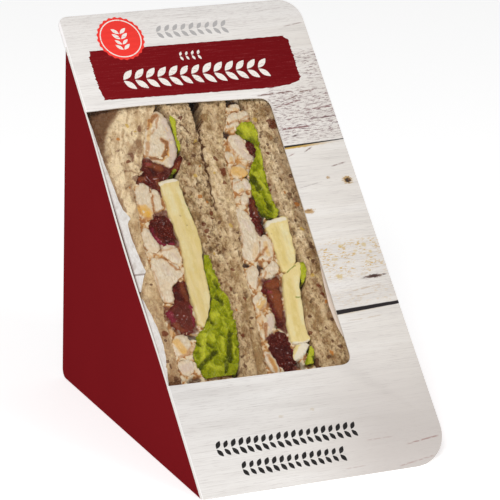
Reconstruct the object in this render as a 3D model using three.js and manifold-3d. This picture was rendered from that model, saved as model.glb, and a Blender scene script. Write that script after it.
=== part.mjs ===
// A wedge-shaped card pack of cut sandwich. Two half sandwiches of chicken, soft cheese, cranberry and
// lettuce stand side by side in it, their cut faces behind the film of the sloping front's window.
import * as THREE from "three";
import { mergeVertices } from "three/addons/utils/BufferGeometryUtils.js";
import Module from "manifold-3d";

const wasm = await Module();
wasm.setup();

// Driving dimensions, in millimetres.
const LEG = 123; // base and back of the three-cornered side walls
const BOX_WIDTH = 72; // over both side walls
const PANEL_WIDTH = 93.9; // sloping front, whose right margin stands past the box
const HEADER = 12.2; // front panel above the point of the box
const BOARD = 0.6; // thickness of the card
const BACK_FOLD_RADIUS = 3;
const SIDE_BULGE = 0.8; // how far the left wall bows out beside the window
const PANEL_CORNERS = { topLeft: 4, topRight: 8.5, bottomRight: 14 };
const WINDOW = { top: 38.4, bottom: 144.5, right: 70.3, drop: 1.1, lean: 1.1, radius: 4.5 };
const FILM = { front: 0.9, thickness: 0.2, lap: 6 };
const LINING = { front: 1.4, thickness: 0.4 };
const GAP = 0.3; // between pieces that lie against each other
const CUT_FACE = 2.3; // depth of the cut bread behind the front of the card
const LOAF = { leg: 113, corner: 14 }; // square slice, cut corner to corner
const FILLING_FACE = 3.1;

const HALF_ROOT = Math.SQRT1_2;
const PANEL_LENGTH = LEG * Math.SQRT2 + HEADER;
const PACK_DEPTH = (PANEL_LENGTH + BOARD) * HALF_ROOT;

// Everything is laid out on the sloping front: u runs right from the left fold, v down from the top edge,
// and depth goes into the pack, square to the front. The group turns that frame upright.
const pack = new THREE.Group();
pack.rotation.x = (-3 * Math.PI) / 4;
pack.position.set(
  (SIDE_BULGE - PANEL_WIDTH) / 2,
  PANEL_LENGTH * HALF_ROOT - PACK_DEPTH / 2,
  PANEL_LENGTH * HALF_ROOT,
);

// A point of the side view, y back from the front edge and z up from the base, as [v, depth].
const fromSide = (y, z) => [PANEL_LENGTH - (y + z) * HALF_ROOT, (y - z) * HALF_ROOT];

// ---- Solids, joined and cut ----

function toSolid(geometry) {
  const bare = new THREE.BufferGeometry();
  bare.setAttribute("position", geometry.getAttribute("position"));
  bare.setIndex(geometry.index);
  const merged = mergeVertices(bare, 1e-4);
  const corners = [];
  for (let i = 0; i < merged.index.count; i += 3) {
    const [a, b, c] = merged.index.array.slice(i, i + 3);
    if (a !== b && b !== c && c !== a) corners.push(a, b, c);
  }
  return new wasm.Manifold(
    new wasm.Mesh({
      numProp: 3,
      vertProperties: new Float32Array(merged.getAttribute("position").array),
      triVerts: new Uint32Array(corners),
    }),
  );
}

function toGeometry(solid) {
  const mesh = solid.getMesh();
  const geometry = new THREE.BufferGeometry();
  geometry.setAttribute("position", new THREE.BufferAttribute(mesh.vertProperties, 3));
  geometry.setIndex(new THREE.BufferAttribute(mesh.triVerts, 1));
  return geometry;
}

function largestBody(solid) {
  const bodies = solid.decompose();
  return bodies.reduce((best, body) => (body.volume() > best.volume() ? body : best));
}

// A small seeded draw for what is uneven.
function makeRandom(seed) {
  let state = seed;
  return () => {
    state = (state * 1664525 + 1013904223) % 4294967296;
    return state / 4294967296;
  };
}

// ---- Curves ----

// A smooth value along v through a few [v, value] points.
function along(points) {
  const last = points.length - 1;
  const slope = (i) => {
    const [a, b] = [points[Math.max(i - 1, 0)], points[Math.min(i + 1, last)]];
    return (b[1] - a[1]) / (b[0] - a[0]);
  };
  return (v) => {
    if (v <= points[0][0]) return points[0][1];
    if (v >= points[last][0]) return points[last][1];
    const i = points.findIndex((point) => point[0] > v) - 1;
    const [v0, value0] = points[i];
    const [v1, value1] = points[i + 1];
    const span = v1 - v0;
    const t = (v - v0) / span;
    return (
      value0 * (1 + 2 * t) * (1 - t) ** 2 +
      slope(i) * span * t * (1 - t) ** 2 +
      value1 * t * t * (3 - 2 * t) +
      slope(i + 1) * span * t * t * (t - 1)
    );
  };
}

// A smooth closed outline through a few [u, v] points, pushed out by grow, going round one way.
function smoothOutline(points, spacing, grow = 0) {
  const curve = new THREE.CatmullRomCurve3(
    points.map(([u, v]) => new THREE.Vector3(u, v, 0)),
    true,
    "centripetal",
  );
  const count = Math.max(8, Math.round(curve.getLength() / spacing));
  const loop = curve
    .getSpacedPoints(count)
    .slice(0, count)
    .map((p) => new THREE.Vector2(p.x, p.y));
  if (THREE.ShapeUtils.isClockWise(loop)) loop.reverse();
  return offsetLoop(loop, grow);
}

// A loop moved out, or in where distance is negative, by less where it would cross itself.
function offsetLoop(loop, distance) {
  if (Math.abs(distance) < 0.02) return loop;
  const moved = loop.map((point, i) => {
    const before = loop[(i + loop.length - 1) % loop.length];
    const after = loop[(i + 1) % loop.length];
    const tangent = after.clone().sub(before).normalize();
    return new THREE.Vector2(point.x + tangent.y * distance, point.y - tangent.x * distance);
  });
  return crossesItself(moved) ? offsetLoop(loop, distance / 2) : moved;
}

function crossesItself(loop) {
  const turn = (a, b, c) => (b.x - a.x) * (c.y - a.y) - (b.y - a.y) * (c.x - a.x);
  const count = loop.length;
  for (let i = 0; i < count; i++) {
    const [a, b] = [loop[i], loop[(i + 1) % count]];
    for (let j = i + 2; j < count - (i === 0 ? 1 : 0); j++) {
      const [c, d] = [loop[j], loop[(j + 1) % count]];
      if (turn(a, b, c) * turn(a, b, d) < 0 && turn(c, d, a) * turn(c, d, b) < 0) return true;
    }
  }
  return false;
}

// ---- Shape makers ----

// A closed skin over rings of equal count, each a list of Vector3. fill gives the triangles that close an
// end ring, as indices in the ring that go round the way its points do.
function skin(rings, fill) {
  const count = rings[0].length;
  const positions = rings.flat().flatMap((p) => [p.x, p.y, p.z]);
  const index = [];
  for (let r = 0; r + 1 < rings.length; r++) {
    for (let i = 0; i < count; i++) {
      const next = (i + 1) % count;
      const [a, b] = [r * count + i, r * count + next];
      const [c, d] = [a + count, b + count];
      index.push(a, c, b, b, c, d);
    }
  }
  const last = (rings.length - 1) * count;
  for (const [a, b, c] of fill(rings[0])) index.push(a, b, c);
  for (const [a, b, c] of fill(rings.at(-1))) index.push(last + a, last + c, last + b);
  const geometry = new THREE.BufferGeometry();
  geometry.setAttribute("position", new THREE.Float32BufferAttribute(positions, 3));
  geometry.setIndex(index);
  return facingOut(geometry);
}

// The solid of a closed geometry, turned inside out if its faces point in.
function facingOut(geometry) {
  const solid = toSolid(geometry);
  if (solid.volume() > 0) return solid;
  const index = Array.from(geometry.index.array);
  for (let i = 0; i < index.length; i += 3) [index[i + 1], index[i + 2]] = [index[i + 2], index[i + 1]];
  geometry.setIndex(index);
  return toSolid(geometry);
}

// Fills a ring that lies on the front, whatever its outline.
function fillOutline(ring) {
  const contour = ring.map((p) => new THREE.Vector2(p.x, p.y));
  const faces = THREE.ShapeUtils.triangulateShape(contour, []);
  return THREE.ShapeUtils.isClockWise(contour) ? faces.map(([a, b, c]) => [a, c, b]) : faces;
}

// Fills a ring whose first half runs opposite its second half, as round a layer or a leaf.
function fillBand(ring) {
  const faces = [];
  for (let i = 0; i < ring.length / 2 - 1; i++) {
    const mirror = ring.length - 1 - i;
    faces.push([i, i + 1, mirror], [i + 1, mirror - 1, mirror]);
  }
  return faces;
}

// A flat sheet of card parallel to the front, between two depths.
function sheetSolid(shape, front, thickness, curveSegments = 6) {
  const geometry = new THREE.ExtrudeGeometry(shape, {
    depth: thickness,
    bevelEnabled: false,
    curveSegments,
  });
  return toSolid(geometry.translate(0, 0, front));
}

// A prism across the pack, from its [v, depth] outline.
function acrossSolid(profile, left, right) {
  const shape = new THREE.Shape(profile.map(([v, depth]) => new THREE.Vector2(v, depth)));
  const geometry = new THREE.ExtrudeGeometry(shape, { depth: right - left, bevelEnabled: false });
  // extruded along z over x and y, so z becomes u, x becomes v and y becomes depth
  geometry.applyMatrix4(
    new THREE.Matrix4().makeBasis(
      new THREE.Vector3(0, 1, 0),
      new THREE.Vector3(0, 0, 1),
      new THREE.Vector3(1, 0, 0),
    ),
  );
  return toSolid(geometry.translate(left, 0, 0));
}

// A piece of filling: its outline on the cut face, run back into the sandwich with a rounded rim.
function chunkSolid({ points, front, deep, round, tilt, spacing }) {
  const loop = smoothOutline(points, spacing);
  const middle = loop.reduce((sum, p) => sum.add(p), new THREE.Vector2()).divideScalar(loop.length);
  const rim = [
    [-round, front],
    [-0.3 * round, front + 0.35 * round],
    [0, front + round],
  ];
  const rings = rim.map(([inset, depth]) =>
    offsetLoop(loop, inset).map((p) => {
      const lean = tilt * (p.x - middle.x + (p.y - middle.y));
      return new THREE.Vector3(p.x, p.y, depth + lean);
    }),
  );
  rings.push(loop.map((p) => new THREE.Vector3(p.x, p.y, front + deep)));
  return skin(rings, fillOutline);
}

// The room that such a piece takes up, with the gap round it.
function chunkRoom({ points, front, deep, spacing }) {
  const loop = smoothOutline(points, spacing, GAP);
  return skin(
    [front - 1, front + deep + GAP].map((depth) => loop.map((p) => new THREE.Vector3(p.x, p.y, depth))),
    fillOutline,
  );
}

// ---- Card ----

function sideProfile(inset, overFront) {
  // base, back and the rounded fold between them, and the open slope of the front
  const [near, far, low] = [-overFront, LEG - inset, inset];
  const radius = BACK_FOLD_RADIUS - inset;
  const profile = [fromSide(near + low, low)];
  for (let i = 0; i <= 4; i++) {
    const angle = -Math.PI / 2 + (i / 4) * (Math.PI / 2);
    profile.push(
      fromSide(far - radius + radius * Math.cos(angle), low + radius + radius * Math.sin(angle)),
    );
  }
  profile.push(fromSide(far, far + overFront));
  return profile;
}

// The left wall, a three-cornered sheet whose edge beside the window bows out.
function bowedWall() {
  const rows = 9;
  const point = fromSide(LEG, LEG);
  const toe = fromSide(0, 0);
  const heel = fromSide(LEG, 0);
  const bow = (v, depth) => {
    const share = (v - WINDOW.top) / (WINDOW.bottom - WINDOW.top);
    if (share <= 0 || share >= 1) return 0;
    return SIDE_BULGE * Math.sin(Math.PI * share) ** 2 * Math.exp(-((depth / 24) ** 2));
  };
  const positions = [];
  for (const side of [0, BOARD]) {
    for (let i = 0; i <= rows; i++) {
      for (let j = 0; j <= rows - i; j++) {
        const mix = (k) => point[k] + ((toe[k] - point[k]) * j + (heel[k] - point[k]) * i) / rows;
        const [v, depth] = [mix(0), mix(1)];
        positions.push(side - bow(v, depth), v, depth);
      }
    }
  }
  const at = (i, j) => i * (rows + 1) - (i * (i - 1)) / 2 + j;
  const sheet = ((rows + 1) * (rows + 2)) / 2;
  const index = [];
  const both = (a, b, c) => index.push(a, b, c, a + sheet, c + sheet, b + sheet);
  const rim = (a, b) => index.push(a, a + sheet, b, b, a + sheet, b + sheet);
  for (let i = 0; i < rows; i++) {
    for (let j = 0; j < rows - i; j++) {
      both(at(i, j), at(i + 1, j), at(i, j + 1));
      if (j < rows - i - 1) both(at(i, j + 1), at(i + 1, j), at(i + 1, j + 1));
    }
    rim(at(0, i + 1), at(0, i));
    rim(at(i, 0), at(i + 1, 0));
    rim(at(i + 1, rows - i - 1), at(i, rows - i));
  }
  const geometry = new THREE.BufferGeometry();
  geometry.setAttribute("position", new THREE.Float32BufferAttribute(positions, 3));
  geometry.setIndex(index);
  return facingOut(geometry).intersect(acrossSolid(sideProfile(0, 2), -2, 2));
}

// A box outline on the front with its four corners rounded, in turn from the top left.
function roundedBox(left, top, right, bottom, radii) {
  const corners = [
    [left, top, 1, 1],
    [right, top, -1, 1],
    [right, bottom, -1, -1],
    [left, bottom, 1, -1],
  ];
  const shape = new THREE.Shape();
  corners.forEach(([u, v, inU, inV], i) => {
    const radius = radii[i];
    const start = Math.PI + (i * Math.PI) / 2;
    const draw = i === 0 ? "moveTo" : "lineTo";
    if (radius === 0) {
      shape[draw](u, v);
      return;
    }
    const centre = [u + inU * radius, v + inV * radius];
    shape[draw](centre[0] + radius * Math.cos(start), centre[1] + radius * Math.sin(start));
    shape.absarc(...centre, radius, start, start + Math.PI / 2, false);
  });
  return shape;
}

function windowShape() {
  const { top, bottom, right, drop, lean, radius } = WINDOW;
  const past = -2; // the window runs out over the left fold
  const shape = new THREE.Shape();
  shape.moveTo(past, top);
  shape.lineTo(right - radius, top + drop);
  shape.quadraticCurveTo(right, top + drop, right, top + drop + radius);
  shape.lineTo(right - lean, bottom + drop - radius);
  shape.quadraticCurveTo(right - lean, bottom + drop, right - lean - radius, bottom + drop);
  shape.lineTo(past, bottom);
  shape.closePath();
  return shape;
}

function cartonSolid() {
  const edgeInset = 0.8; // the glued flaps stop short of the panel's edge
  const lap = 0.05; // glued layers run into each other
  const walls = acrossSolid(sideProfile(0, 0), BOARD / 2, BOX_WIDTH).subtract(
    acrossSolid(sideProfile(BOARD, 4), BOARD / 4, BOX_WIDTH - BOARD),
  );
  const opening = sheetSolid(windowShape(), -1, BOARD + 2, 8);
  const { topLeft, topRight, bottomRight } = PANEL_CORNERS;
  const panel = roundedBox(0, 0, PANEL_WIDTH, PANEL_LENGTH, [topLeft, topRight, bottomRight, 0]);
  const front = sheetSolid(panel, 0, BOARD, 8).subtract(opening);
  const flapThickness = BOARD + lap;
  const headerFlap = sheetSolid(
    roundedBox(edgeInset, edgeInset, BOX_WIDTH, HEADER + 2 * BOARD, [topLeft, topLeft, 0, 0]),
    BOARD - lap,
    flapThickness,
  );
  const marginFlap = sheetSolid(
    roundedBox(
      BOX_WIDTH - BOARD,
      HEADER + 4,
      PANEL_WIDTH - edgeInset,
      PANEL_LENGTH - 6,
      [0, 3, bottomRight - 2, 0],
    ),
    BOARD - lap,
    flapThickness,
  );
  const aboveGround = acrossSolid(
    [fromSide(-5, 0), fromSide(2 * LEG, 0), fromSide(2 * LEG, 2 * LEG), fromSide(-5, 2 * LEG)],
    -5,
    PANEL_WIDTH + 5,
  );
  return largestBody(
    walls
      .add(bowedWall())
      .add(front)
      .add(headerFlap)
      .add(marginFlap)
      .subtract(acrossSolid(sideProfile(BOARD, -BOARD), BOARD, BOX_WIDTH - BOARD).intersect(behindBoard()))
      .intersect(aboveGround),
  );
}

// The room inside the box, behind the front board.
function behindBoard() {
  const big = roundedBox(-5, -5, PANEL_WIDTH + 5, PANEL_LENGTH + 5, [0, 0, 0, 0]);
  return sheetSolid(big, BOARD, 2 * LEG);
}

// ---- Bread ----

// How far a slice reaches back from the cut, by the distance from its upper tip: a square loaf with
// rounded corners, cut corner to corner.
function loafReach(distance) {
  const length = LOAF.leg * Math.SQRT2;
  const t = Math.min(distance, length - distance);
  const tip = LOAF.corner * Math.SQRT2;
  if (t < tip - LOAF.corner) return 0;
  if (t < LOAF.corner * HALF_ROOT) return Math.sqrt(LOAF.corner ** 2 - (tip - t) ** 2);
  const fromMiddle = length / 2 - t;
  if (fromMiddle < LOAF.corner * HALF_ROOT)
    return length / 2 - tip + Math.sqrt(LOAF.corner ** 2 - fromMiddle ** 2);
  return t;
}

const LOAF_FOOT = PANEL_LENGTH - CUT_FACE - (BOARD + GAP) * Math.SQRT2;
const LOAF_HEAD = LOAF_FOOT - LOAF.leg * Math.SQRT2;

const LAYER_STEP = 4.6; // neighbouring layers have their rows at the same v, so their sides run alike

// A layer that runs through the sandwich between two row numbers: its sides are curves along v.
function layerSolid({ first, last, left, right, face, back, edge, across }) {
  const rings = [];
  for (let row = first; row <= last; row++) {
    const v = row * LAYER_STEP;
    const [l, r, f, b] = [left(v), right(v), face, back(v)];
    const { leftIn, leftDown, rightIn, rightDown } = edge(v);
    const bend = 0.3;
    const ring = [
      [l, b],
      [l, f + leftDown],
      [l + bend * leftIn, f + bend * leftDown],
      [l + leftIn, f],
    ];
    for (let i = 1; i < across; i++) {
      ring.push([l + leftIn + ((r - rightIn - l - leftIn) * i) / across, f]);
    }
    ring.push(
      [r - rightIn, f],
      [r - bend * rightIn, f + bend * rightDown],
      [r, f + rightDown],
      [r, b],
    );
    rings.push(ring.map(([u, depth]) => new THREE.Vector3(u, v, depth)));
  }
  return skin(rings, fillBand);
}

// Where each slice and each filling layer begins and ends across the cut face, as [v, u].
const SEAMS = {
  outerARight: along([
    [30, 25], [37, 28.2], [41, 25.8], [43, 23], [50, 19.9], [57, 17.2], [64, 13.8], [66, 10.8],
    [76, 9.7], [84, 8.6], [94, 7.5], [104, 8.2], [113, 8.6], [118, 7.1], [125, 7.6], [134, 7], [143, 6.6],
    [168, 7.5],
  ]),
  innerALeft: along([
    [30, 27.5], [37, 29.8], [41, 30.8], [43, 33.8], [50, 32.4], [57, 32.6], [61, 31.2], [65, 28.4],
    [75, 28.8], [84, 29.3], [92, 29.5], [102, 30.5], [110, 31.2], [116, 32.7], [122, 33], [128, 32.5],
    [134, 31.3], [140, 29.5], [146, 27.6], [168, 27],
  ]),
  innerARight: along([
    [30, 37], [37, 40.4], [42, 40.3], [48, 40.5], [55, 40.3], [60, 39.2], [66, 39], [76, 38.2],
    [85, 36.7], [100, 36.2], [120, 36.7], [132, 35.9], [143, 34.6], [168, 35],
  ]),
  innerBLeft: along([
    [30, 48], [37, 45], [43, 44.8], [47, 43.2], [50, 41], [55, 40.7], [60, 39.6], [66, 39.4], [76, 38.6],
    [85, 37.1], [100, 36.6], [120, 37.1], [132, 36.3], [143, 35], [168, 35.4],
  ]),
  innerBRight: along([
    [30, 57], [37, 55], [42, 53.5], [46, 52.4], [49, 50.4], [52, 49.4], [58, 47.9], [64, 47.2],
    [72, 46.8], [79, 46], [86, 44.7], [94, 43.7], [101, 41.8], [108, 41], [116, 41], [124, 40],
    [131, 39.4], [138, 38.3], [143, 38], [168, 38.5],
  ]),
  outerBLeft: along([
    [30, 58.5], [37, 60], [43, 61.6], [49, 63.4], [53, 63.7], [57, 62.4], [66, 61.5], [74, 61],
    [80, 61.1], [86, 63.6], [98, 63.9], [104, 65.2], [108, 65], [112, 63.2], [118, 60.8], [126, 59.2],
    [132, 58.6], [140, 58], [146, 57.4], [168, 57.5],
  ]),
};

const INNER_LEFT = BOARD + GAP;
const INNER_RIGHT = BOX_WIDTH - BOARD - GAP;

const plainEdge = { leftIn: 0.8, leftDown: 1, rightIn: 0.8, rightDown: 1 };

function slice(left, right, edge = () => plainEdge) {
  return layerSolid({
    first: Math.ceil((LOAF_HEAD + 5) / LAYER_STEP),
    last: Math.floor((LOAF_FOOT - 5) / LAYER_STEP),
    left,
    right,
    face: CUT_FACE,
    back: (v) => CUT_FACE + Math.max(loafReach(v - LOAF_HEAD), 2.6),
    edge,
    across: 3,
  });
}

// The leftmost slice leans, so near its top the crust turns away to the left.
const crustTurn = along([
  [30, 9.5], [37, 9.6], [41, 8.2], [46, 5.4], [52, 2.9], [60, 1.6], [75, 1.2], [168, 1.2],
]);
const crustFall = along([[30, 7], [44, 5.5], [54, 3], [66, 1.4], [168, 1.2]]);
// The rightmost slice draws back from the wall low down.
const wallTurn = along([[30, 0.9], [98, 0.9], [108, 1.7], [120, 2.8], [132, 1.2], [168, 0.9]]);

const BREAD = {
  bread_a_outer: () =>
    slice(() => INNER_LEFT, SEAMS.outerARight, (v) => ({
      ...plainEdge,
      leftIn: crustTurn(v),
      leftDown: crustFall(v),
    })),
  bread_a_inner: () => slice(SEAMS.innerALeft, SEAMS.innerARight),
  bread_b_inner: () => slice(SEAMS.innerBLeft, SEAMS.innerBRight),
  bread_b_outer: () =>
    slice(SEAMS.outerBLeft, () => INNER_RIGHT, (v) => ({
      ...plainEdge,
      rightIn: wallTurn(v),
      rightDown: 1.5 * wallTurn(v),
    })),
};

// ---- Filling ----

// Cut chunks of roast chicken, as outlines on the cut face.
const CHICKEN = {
  chicken_a_1: [
    [27.5, 40.5], [30, 43.2], [30.9, 49], [30.7, 55], [28.9, 60], [26.6, 62.6], [24.3, 60.8],
    [20.6, 59], [18.7, 57], [20.2, 51], [22.3, 45.5], [24.8, 41.8],
  ],
  chicken_a_2: [
    [11.6, 69.6], [13.6, 67.6], [15.6, 69], [16.3, 73], [15.5, 78.6], [13, 82], [10.7, 80.8],
    [10.3, 76],
  ],
  chicken_a_3: [[17.4, 70.6], [18.9, 73.4], [18.2, 77.8], [16.3, 79.7], [15.9, 78.4], [17, 73.5]],
  chicken_a_4: [[9.5, 85.4], [11, 85.6], [11.9, 89], [13.2, 92.6], [12.6, 94.6], [9.2, 94], [8.4, 91]],
  chicken_a_5: [[14.6, 93.3], [18.7, 93.2], [19.9, 97.4], [18.6, 100], [15.8, 97.9], [13.7, 95.6]],
  chicken_a_6: [
    [9.8, 96.7], [12.6, 96.9], [15.2, 99], [18.4, 101.9], [18.3, 104.4], [14.2, 107], [12.6, 110],
    [12, 113.6], [9.7, 113.6], [8.7, 108], [8.6, 101],
  ],
  chicken_a_7: [[8.1, 128], [10.6, 126.6], [13.4, 127.3], [13.6, 130.4], [11.5, 133.8], [8.3, 133.8]],
  chicken_a_8: [[7.8, 136.6], [10.5, 135.7], [13, 136.4], [12.6, 139.4], [9.6, 140.8], [7.8, 139.4]],
  chicken_b_1: [[55.8, 41.6], [57, 40.4], [58.8, 41.2], [58.8, 42.8], [56.2, 43]],
  chicken_b_2: [[53.9, 45.6], [55.4, 44], [57.3, 44], [57.3, 46.6], [54.4, 47.7]],
  chicken_b_3: [[58.2, 44.2], [61.4, 43.8], [62, 45.2], [60.4, 46.5], [58.4, 46.6]],
  chicken_b_4: [[52, 49.2], [54.6, 48.3], [57.3, 47.6], [56.4, 49.3], [53, 50.3]],
  chicken_b_5: [
    [52.8, 53.1], [54.4, 52.9], [56.9, 55], [56.9, 60], [58.6, 62.4], [57.4, 64.2], [55.3, 63],
    [53.2, 60.3], [51.2, 57.6], [51.1, 54.5],
  ],
  chicken_b_6: [[48.4, 59.6], [49.9, 59.4], [50.7, 61.8], [49.8, 63.7], [48.3, 63.2]],
  chicken_b_7: [[48.6, 66.2], [50.6, 65.1], [53.3, 65.6], [53.9, 67.8], [52, 69.4], [49, 69.2]],
  chicken_b_8: [[48.2, 71], [50, 70.4], [51.2, 73], [51, 75], [48.9, 76.4], [47.5, 74]],
  chicken_b_9: [[51.6, 70.6], [52.9, 70.6], [53.5, 72.8], [52.7, 74.4], [51.9, 73.6]],
  chicken_b_10: [[48.8, 77.8], [51, 76.5], [51.3, 78], [50.3, 80.6], [48.6, 80]],
  chicken_b_11: [
    [46, 81.3], [48, 81.8], [49.6, 84.4], [50.3, 89], [49.9, 95], [49.2, 99], [46.4, 101.8],
    [43.6, 101.4], [42.9, 99.8], [44.5, 95], [45.2, 89], [45.3, 84],
  ],
  chicken_b_12: [
    [51.7, 93.6], [53.6, 93.2], [54.6, 97], [53.6, 101.6], [50.8, 102.6], [50.2, 99.6], [51.2, 96],
  ],
  chicken_b_13: [[47.7, 108.1], [49.6, 105.8], [53.6, 103.5], [54.6, 105.4], [52, 108], [49, 109.2]],
  chicken_b_14: [[42.3, 105.8], [44.6, 104.3], [46.5, 104.3], [45.6, 109], [43.6, 113], [42.4, 110.4]],
  chicken_b_15: [[42, 116.6], [44, 115], [46.2, 116.2], [46, 118.4], [43.6, 120.7], [42, 121]],
  chicken_b_16: [
    [43.4, 125.2], [45.2, 123.4], [46.9, 122.2], [46.8, 125.6], [45.2, 128.6], [41.8, 130.8],
    [42.2, 128.4],
  ],
  chicken_b_17: [[39.8, 136.6], [40.9, 136.8], [41.6, 139.4], [42.6, 142.4], [41.6, 146], [39.8, 142]],
};

const CRANBERRY = {
  cranberry_a_1: [
    [17.4, 59.4], [19.4, 60.3], [22.4, 61.4], [24.6, 64.6], [24.2, 66.8], [20.6, 67.6], [19.4, 71.6],
    [17.8, 69.2], [15.4, 67.2], [12.2, 66.2], [14.6, 64.7], [16.8, 63],
  ],
  cranberry_a_2: [
    [25.6, 63.8], [28, 62.2], [30.4, 59.5], [31.8, 58.2], [31.5, 60.6], [29.2, 63.3], [26.4, 65],
  ],
  cranberry_a_3: [
    [14, 82.6], [16.6, 81], [19.3, 81], [20.1, 85], [19.9, 90], [18.8, 92.2], [14.2, 92],
    [12.2, 88.6], [12.4, 85],
  ],
  cranberry_a_4: [
    [16.4, 106.7], [18.6, 106], [18.4, 111], [18.4, 117], [17.7, 122], [15.8, 125.8], [11.8, 124.6],
    [9.3, 120.6], [9.4, 116.8], [13.2, 114.3], [13.6, 110.4], [14.8, 108.2],
  ],
  cranberry_b_1: [[57.8, 56], [59.2, 56.4], [59.7, 59], [58.8, 61.2], [57.5, 60.4]],
  cranberry_b_2: [
    [52.4, 77.8], [53.3, 79], [53, 84], [53.5, 88], [52.6, 92], [51.7, 91], [51.1, 85], [50.6, 81.8],
    [51.8, 80.6],
  ],
  cranberry_b_3: [
    [48.2, 110.6], [50.4, 110.2], [53, 109.2], [52.4, 114], [51.2, 121], [49.7, 126], [49.2, 129],
    [47.8, 128.6], [48, 122], [47.2, 118.8], [47.6, 116], [45.6, 114.2], [46.8, 112.6],
  ],
  cranberry_b_4: [
    [44.4, 130.6], [49.2, 130.2], [49.6, 134.6], [49.9, 138.4], [48.4, 142.8], [46.6, 145.6],
    [43.8, 142.6], [42.1, 137.6], [42.4, 134],
  ],
};

const CHEESE = {
  brie_a: [
    [20.4, 69.1], [21.2, 68.2], [26.8, 67.4], [27.7, 68.8], [28, 76], [28.6, 86], [28.6, 95.6],
    [27.3, 100.6], [26.6, 109], [25.9, 114.4], [22.6, 121.6], [20, 125], [19, 123.6], [18.9, 117],
    [18.9, 111], [20.2, 101], [21, 95], [20.7, 86], [20.3, 76],
  ],
  brie_b_upper: [
    [54.6, 90.6], [55.2, 88.2], [62.6, 86.9], [63.2, 88.6], [63.2, 94], [62.4, 101.6], [61, 104.6],
    [58, 106.9], [55.4, 107.4], [55, 104], [55.3, 97],
  ],
  brie_b_lower: [
    [55.2, 109.2], [58.6, 108], [61, 106.6], [61, 110.6], [59.5, 117], [58.8, 122.4], [57.6, 129],
    [57.2, 134], [55.4, 135], [51.9, 135], [50.7, 133.4], [50.7, 128.6], [52.3, 121.4], [53.8, 113],
  ],
  brie_b_rind: [[51, 138], [52.8, 136.2], [56, 136.2], [54.8, 138.2], [52, 141], [50.2, 141.6]],
};

// Leaves, by their left and right edges along v. Each leaf comes out between the layers, turns over its
// right side and shows its ruffled face.
const LETTUCE = {
  lettuce_a: {
    from: 98,
    to: 143.5,
    left: along([
      [98, 28.7], [104, 27.4], [110, 27.3], [115, 26.6], [118, 25.3], [122, 23], [125, 20.6],
      [127.4, 17], [130, 16], [133, 14], [138, 14.2], [143.5, 16],
    ]),
    right: along([
      [98, 29.6], [104, 30.2], [110, 30.7], [116, 32.3], [122, 32.5], [128, 31.9], [134, 30.7],
      [140, 28.7], [143.5, 26.4],
    ]),
    ruffle: 1,
    back: 14,
  },
  lettuce_b: {
    from: 48,
    to: 87,
    left: along([
      [48, 58.6], [50.4, 55.4], [51.6, 53.6], [53, 55.6], [54.6, 58.2], [56.6, 60.1], [61.4, 59.9],
      [63.6, 58.8], [66, 56], [70, 54.8], [75, 53.8], [80, 54.4], [85, 54.9], [87, 57],
    ]),
    right: along([
      [48, 61], [50.4, 62.6], [53, 62.9], [56, 61.8], [61, 61.3], [66, 60.9], [74, 60.4], [81, 60.5],
      [84.6, 61.4], [87, 60.4],
    ]),
    ruffle: 0.9,
    back: 12,
  },
};
const LETTUCE_STRIPS = {
  lettuce_a_top: [
    [31.5, 43.6], [32.2, 42.2], [33.4, 43.4], [33.2, 46], [32, 50.4], [32.2, 53], [31.7, 57],
    [31.1, 57], [31.5, 52], [31.3, 47],
  ],
  lettuce_b_side: [[62.2, 105.6], [64.4, 105], [64.5, 107.4], [62.8, 111.4], [61.3, 113], [61.5, 109]],
  lettuce_b_foot: [[57, 136.6], [57.6, 136.4], [57.4, 139], [56, 143.2], [52.4, 143.4], [54.6, 140.6]],
};

const LEAF = { front: 1.55, thickness: 0.5, deepest: 4.6, across: 6, backSteps: 2, step: 2.7 };

// The rows of a leaf along v, each with its left and right edge.
function leafRows({ from, to, left, right }) {
  const rows = Math.round((to - from) / LEAF.step);
  return Array.from({ length: rows + 1 }, (_, row) => {
    const v = from + ((to - from) * row) / rows;
    return { v, l: left(v), r: right(v) };
  });
}

// A ruffled leaf as one thin closed sheet, which turns back into the sandwich at its right edge.
function leafSolid(leaf, seed) {
  const random = makeRandom(seed);
  const phases = [0, 1, 2].map(() => 2 * Math.PI * random());
  const { front, thickness, across, backSteps } = LEAF;
  const rings = leafRows(leaf).map(({ v, l, r }) => {
    const face = [];
    for (let i = 0; i <= across; i++) {
      const share = i / across;
      const u = l + (r - l) * share;
      const wave =
        0.5 +
        0.3 * Math.sin(0.71 * v + 0.52 * u + phases[0]) +
        0.2 * Math.sin(1.7 * v - 1.3 * u + phases[1]);
      const hang = Math.max(0, 0.6 * Math.sin(0.5 * v + phases[2])) * (1 - share) ** 2;
      const narrow = Math.min(1, (r - l) / 5);
      face.push([u, front + leaf.ruffle * narrow * (2 * wave + hang)]);
    }
    const turn = face.at(-1)[1] + thickness;
    for (let i = 1; i <= backSteps; i++) face.push([r - 0.1, turn + (leaf.back * i) / backSteps]);
    // the far side lies behind the sheet or, where it runs back, to its left
    const far = face.map(([u, depth], i) => [
      i < across ? u : u - thickness,
      i === face.length - 1 ? depth : depth + thickness,
    ]);
    return [...face, ...far.reverse()].map(([u, depth]) => new THREE.Vector3(u, v, depth));
  });
  return skin(rings, fillBand);
}

// The room that a leaf takes up, with the gap round it.
function leafRoom(leaf) {
  const rows = leafRows(leaf);
  rows[0].v -= GAP;
  rows.at(-1).v += GAP;
  const { front, thickness, deepest } = LEAF;
  const rings = rows.map(({ v, l, r }) => {
    const [far, inner] = [deepest + leaf.back, r - thickness - 0.1 - GAP];
    return [
      [l - GAP, front - 1],
      [r + GAP, front - 1],
      [r + GAP, far],
      [inner, far],
      [inner, deepest],
      [l - GAP, deepest],
    ].map(([u, depth]) => new THREE.Vector3(u, v, depth));
  });
  return skin(rings, fillBand);
}

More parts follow.
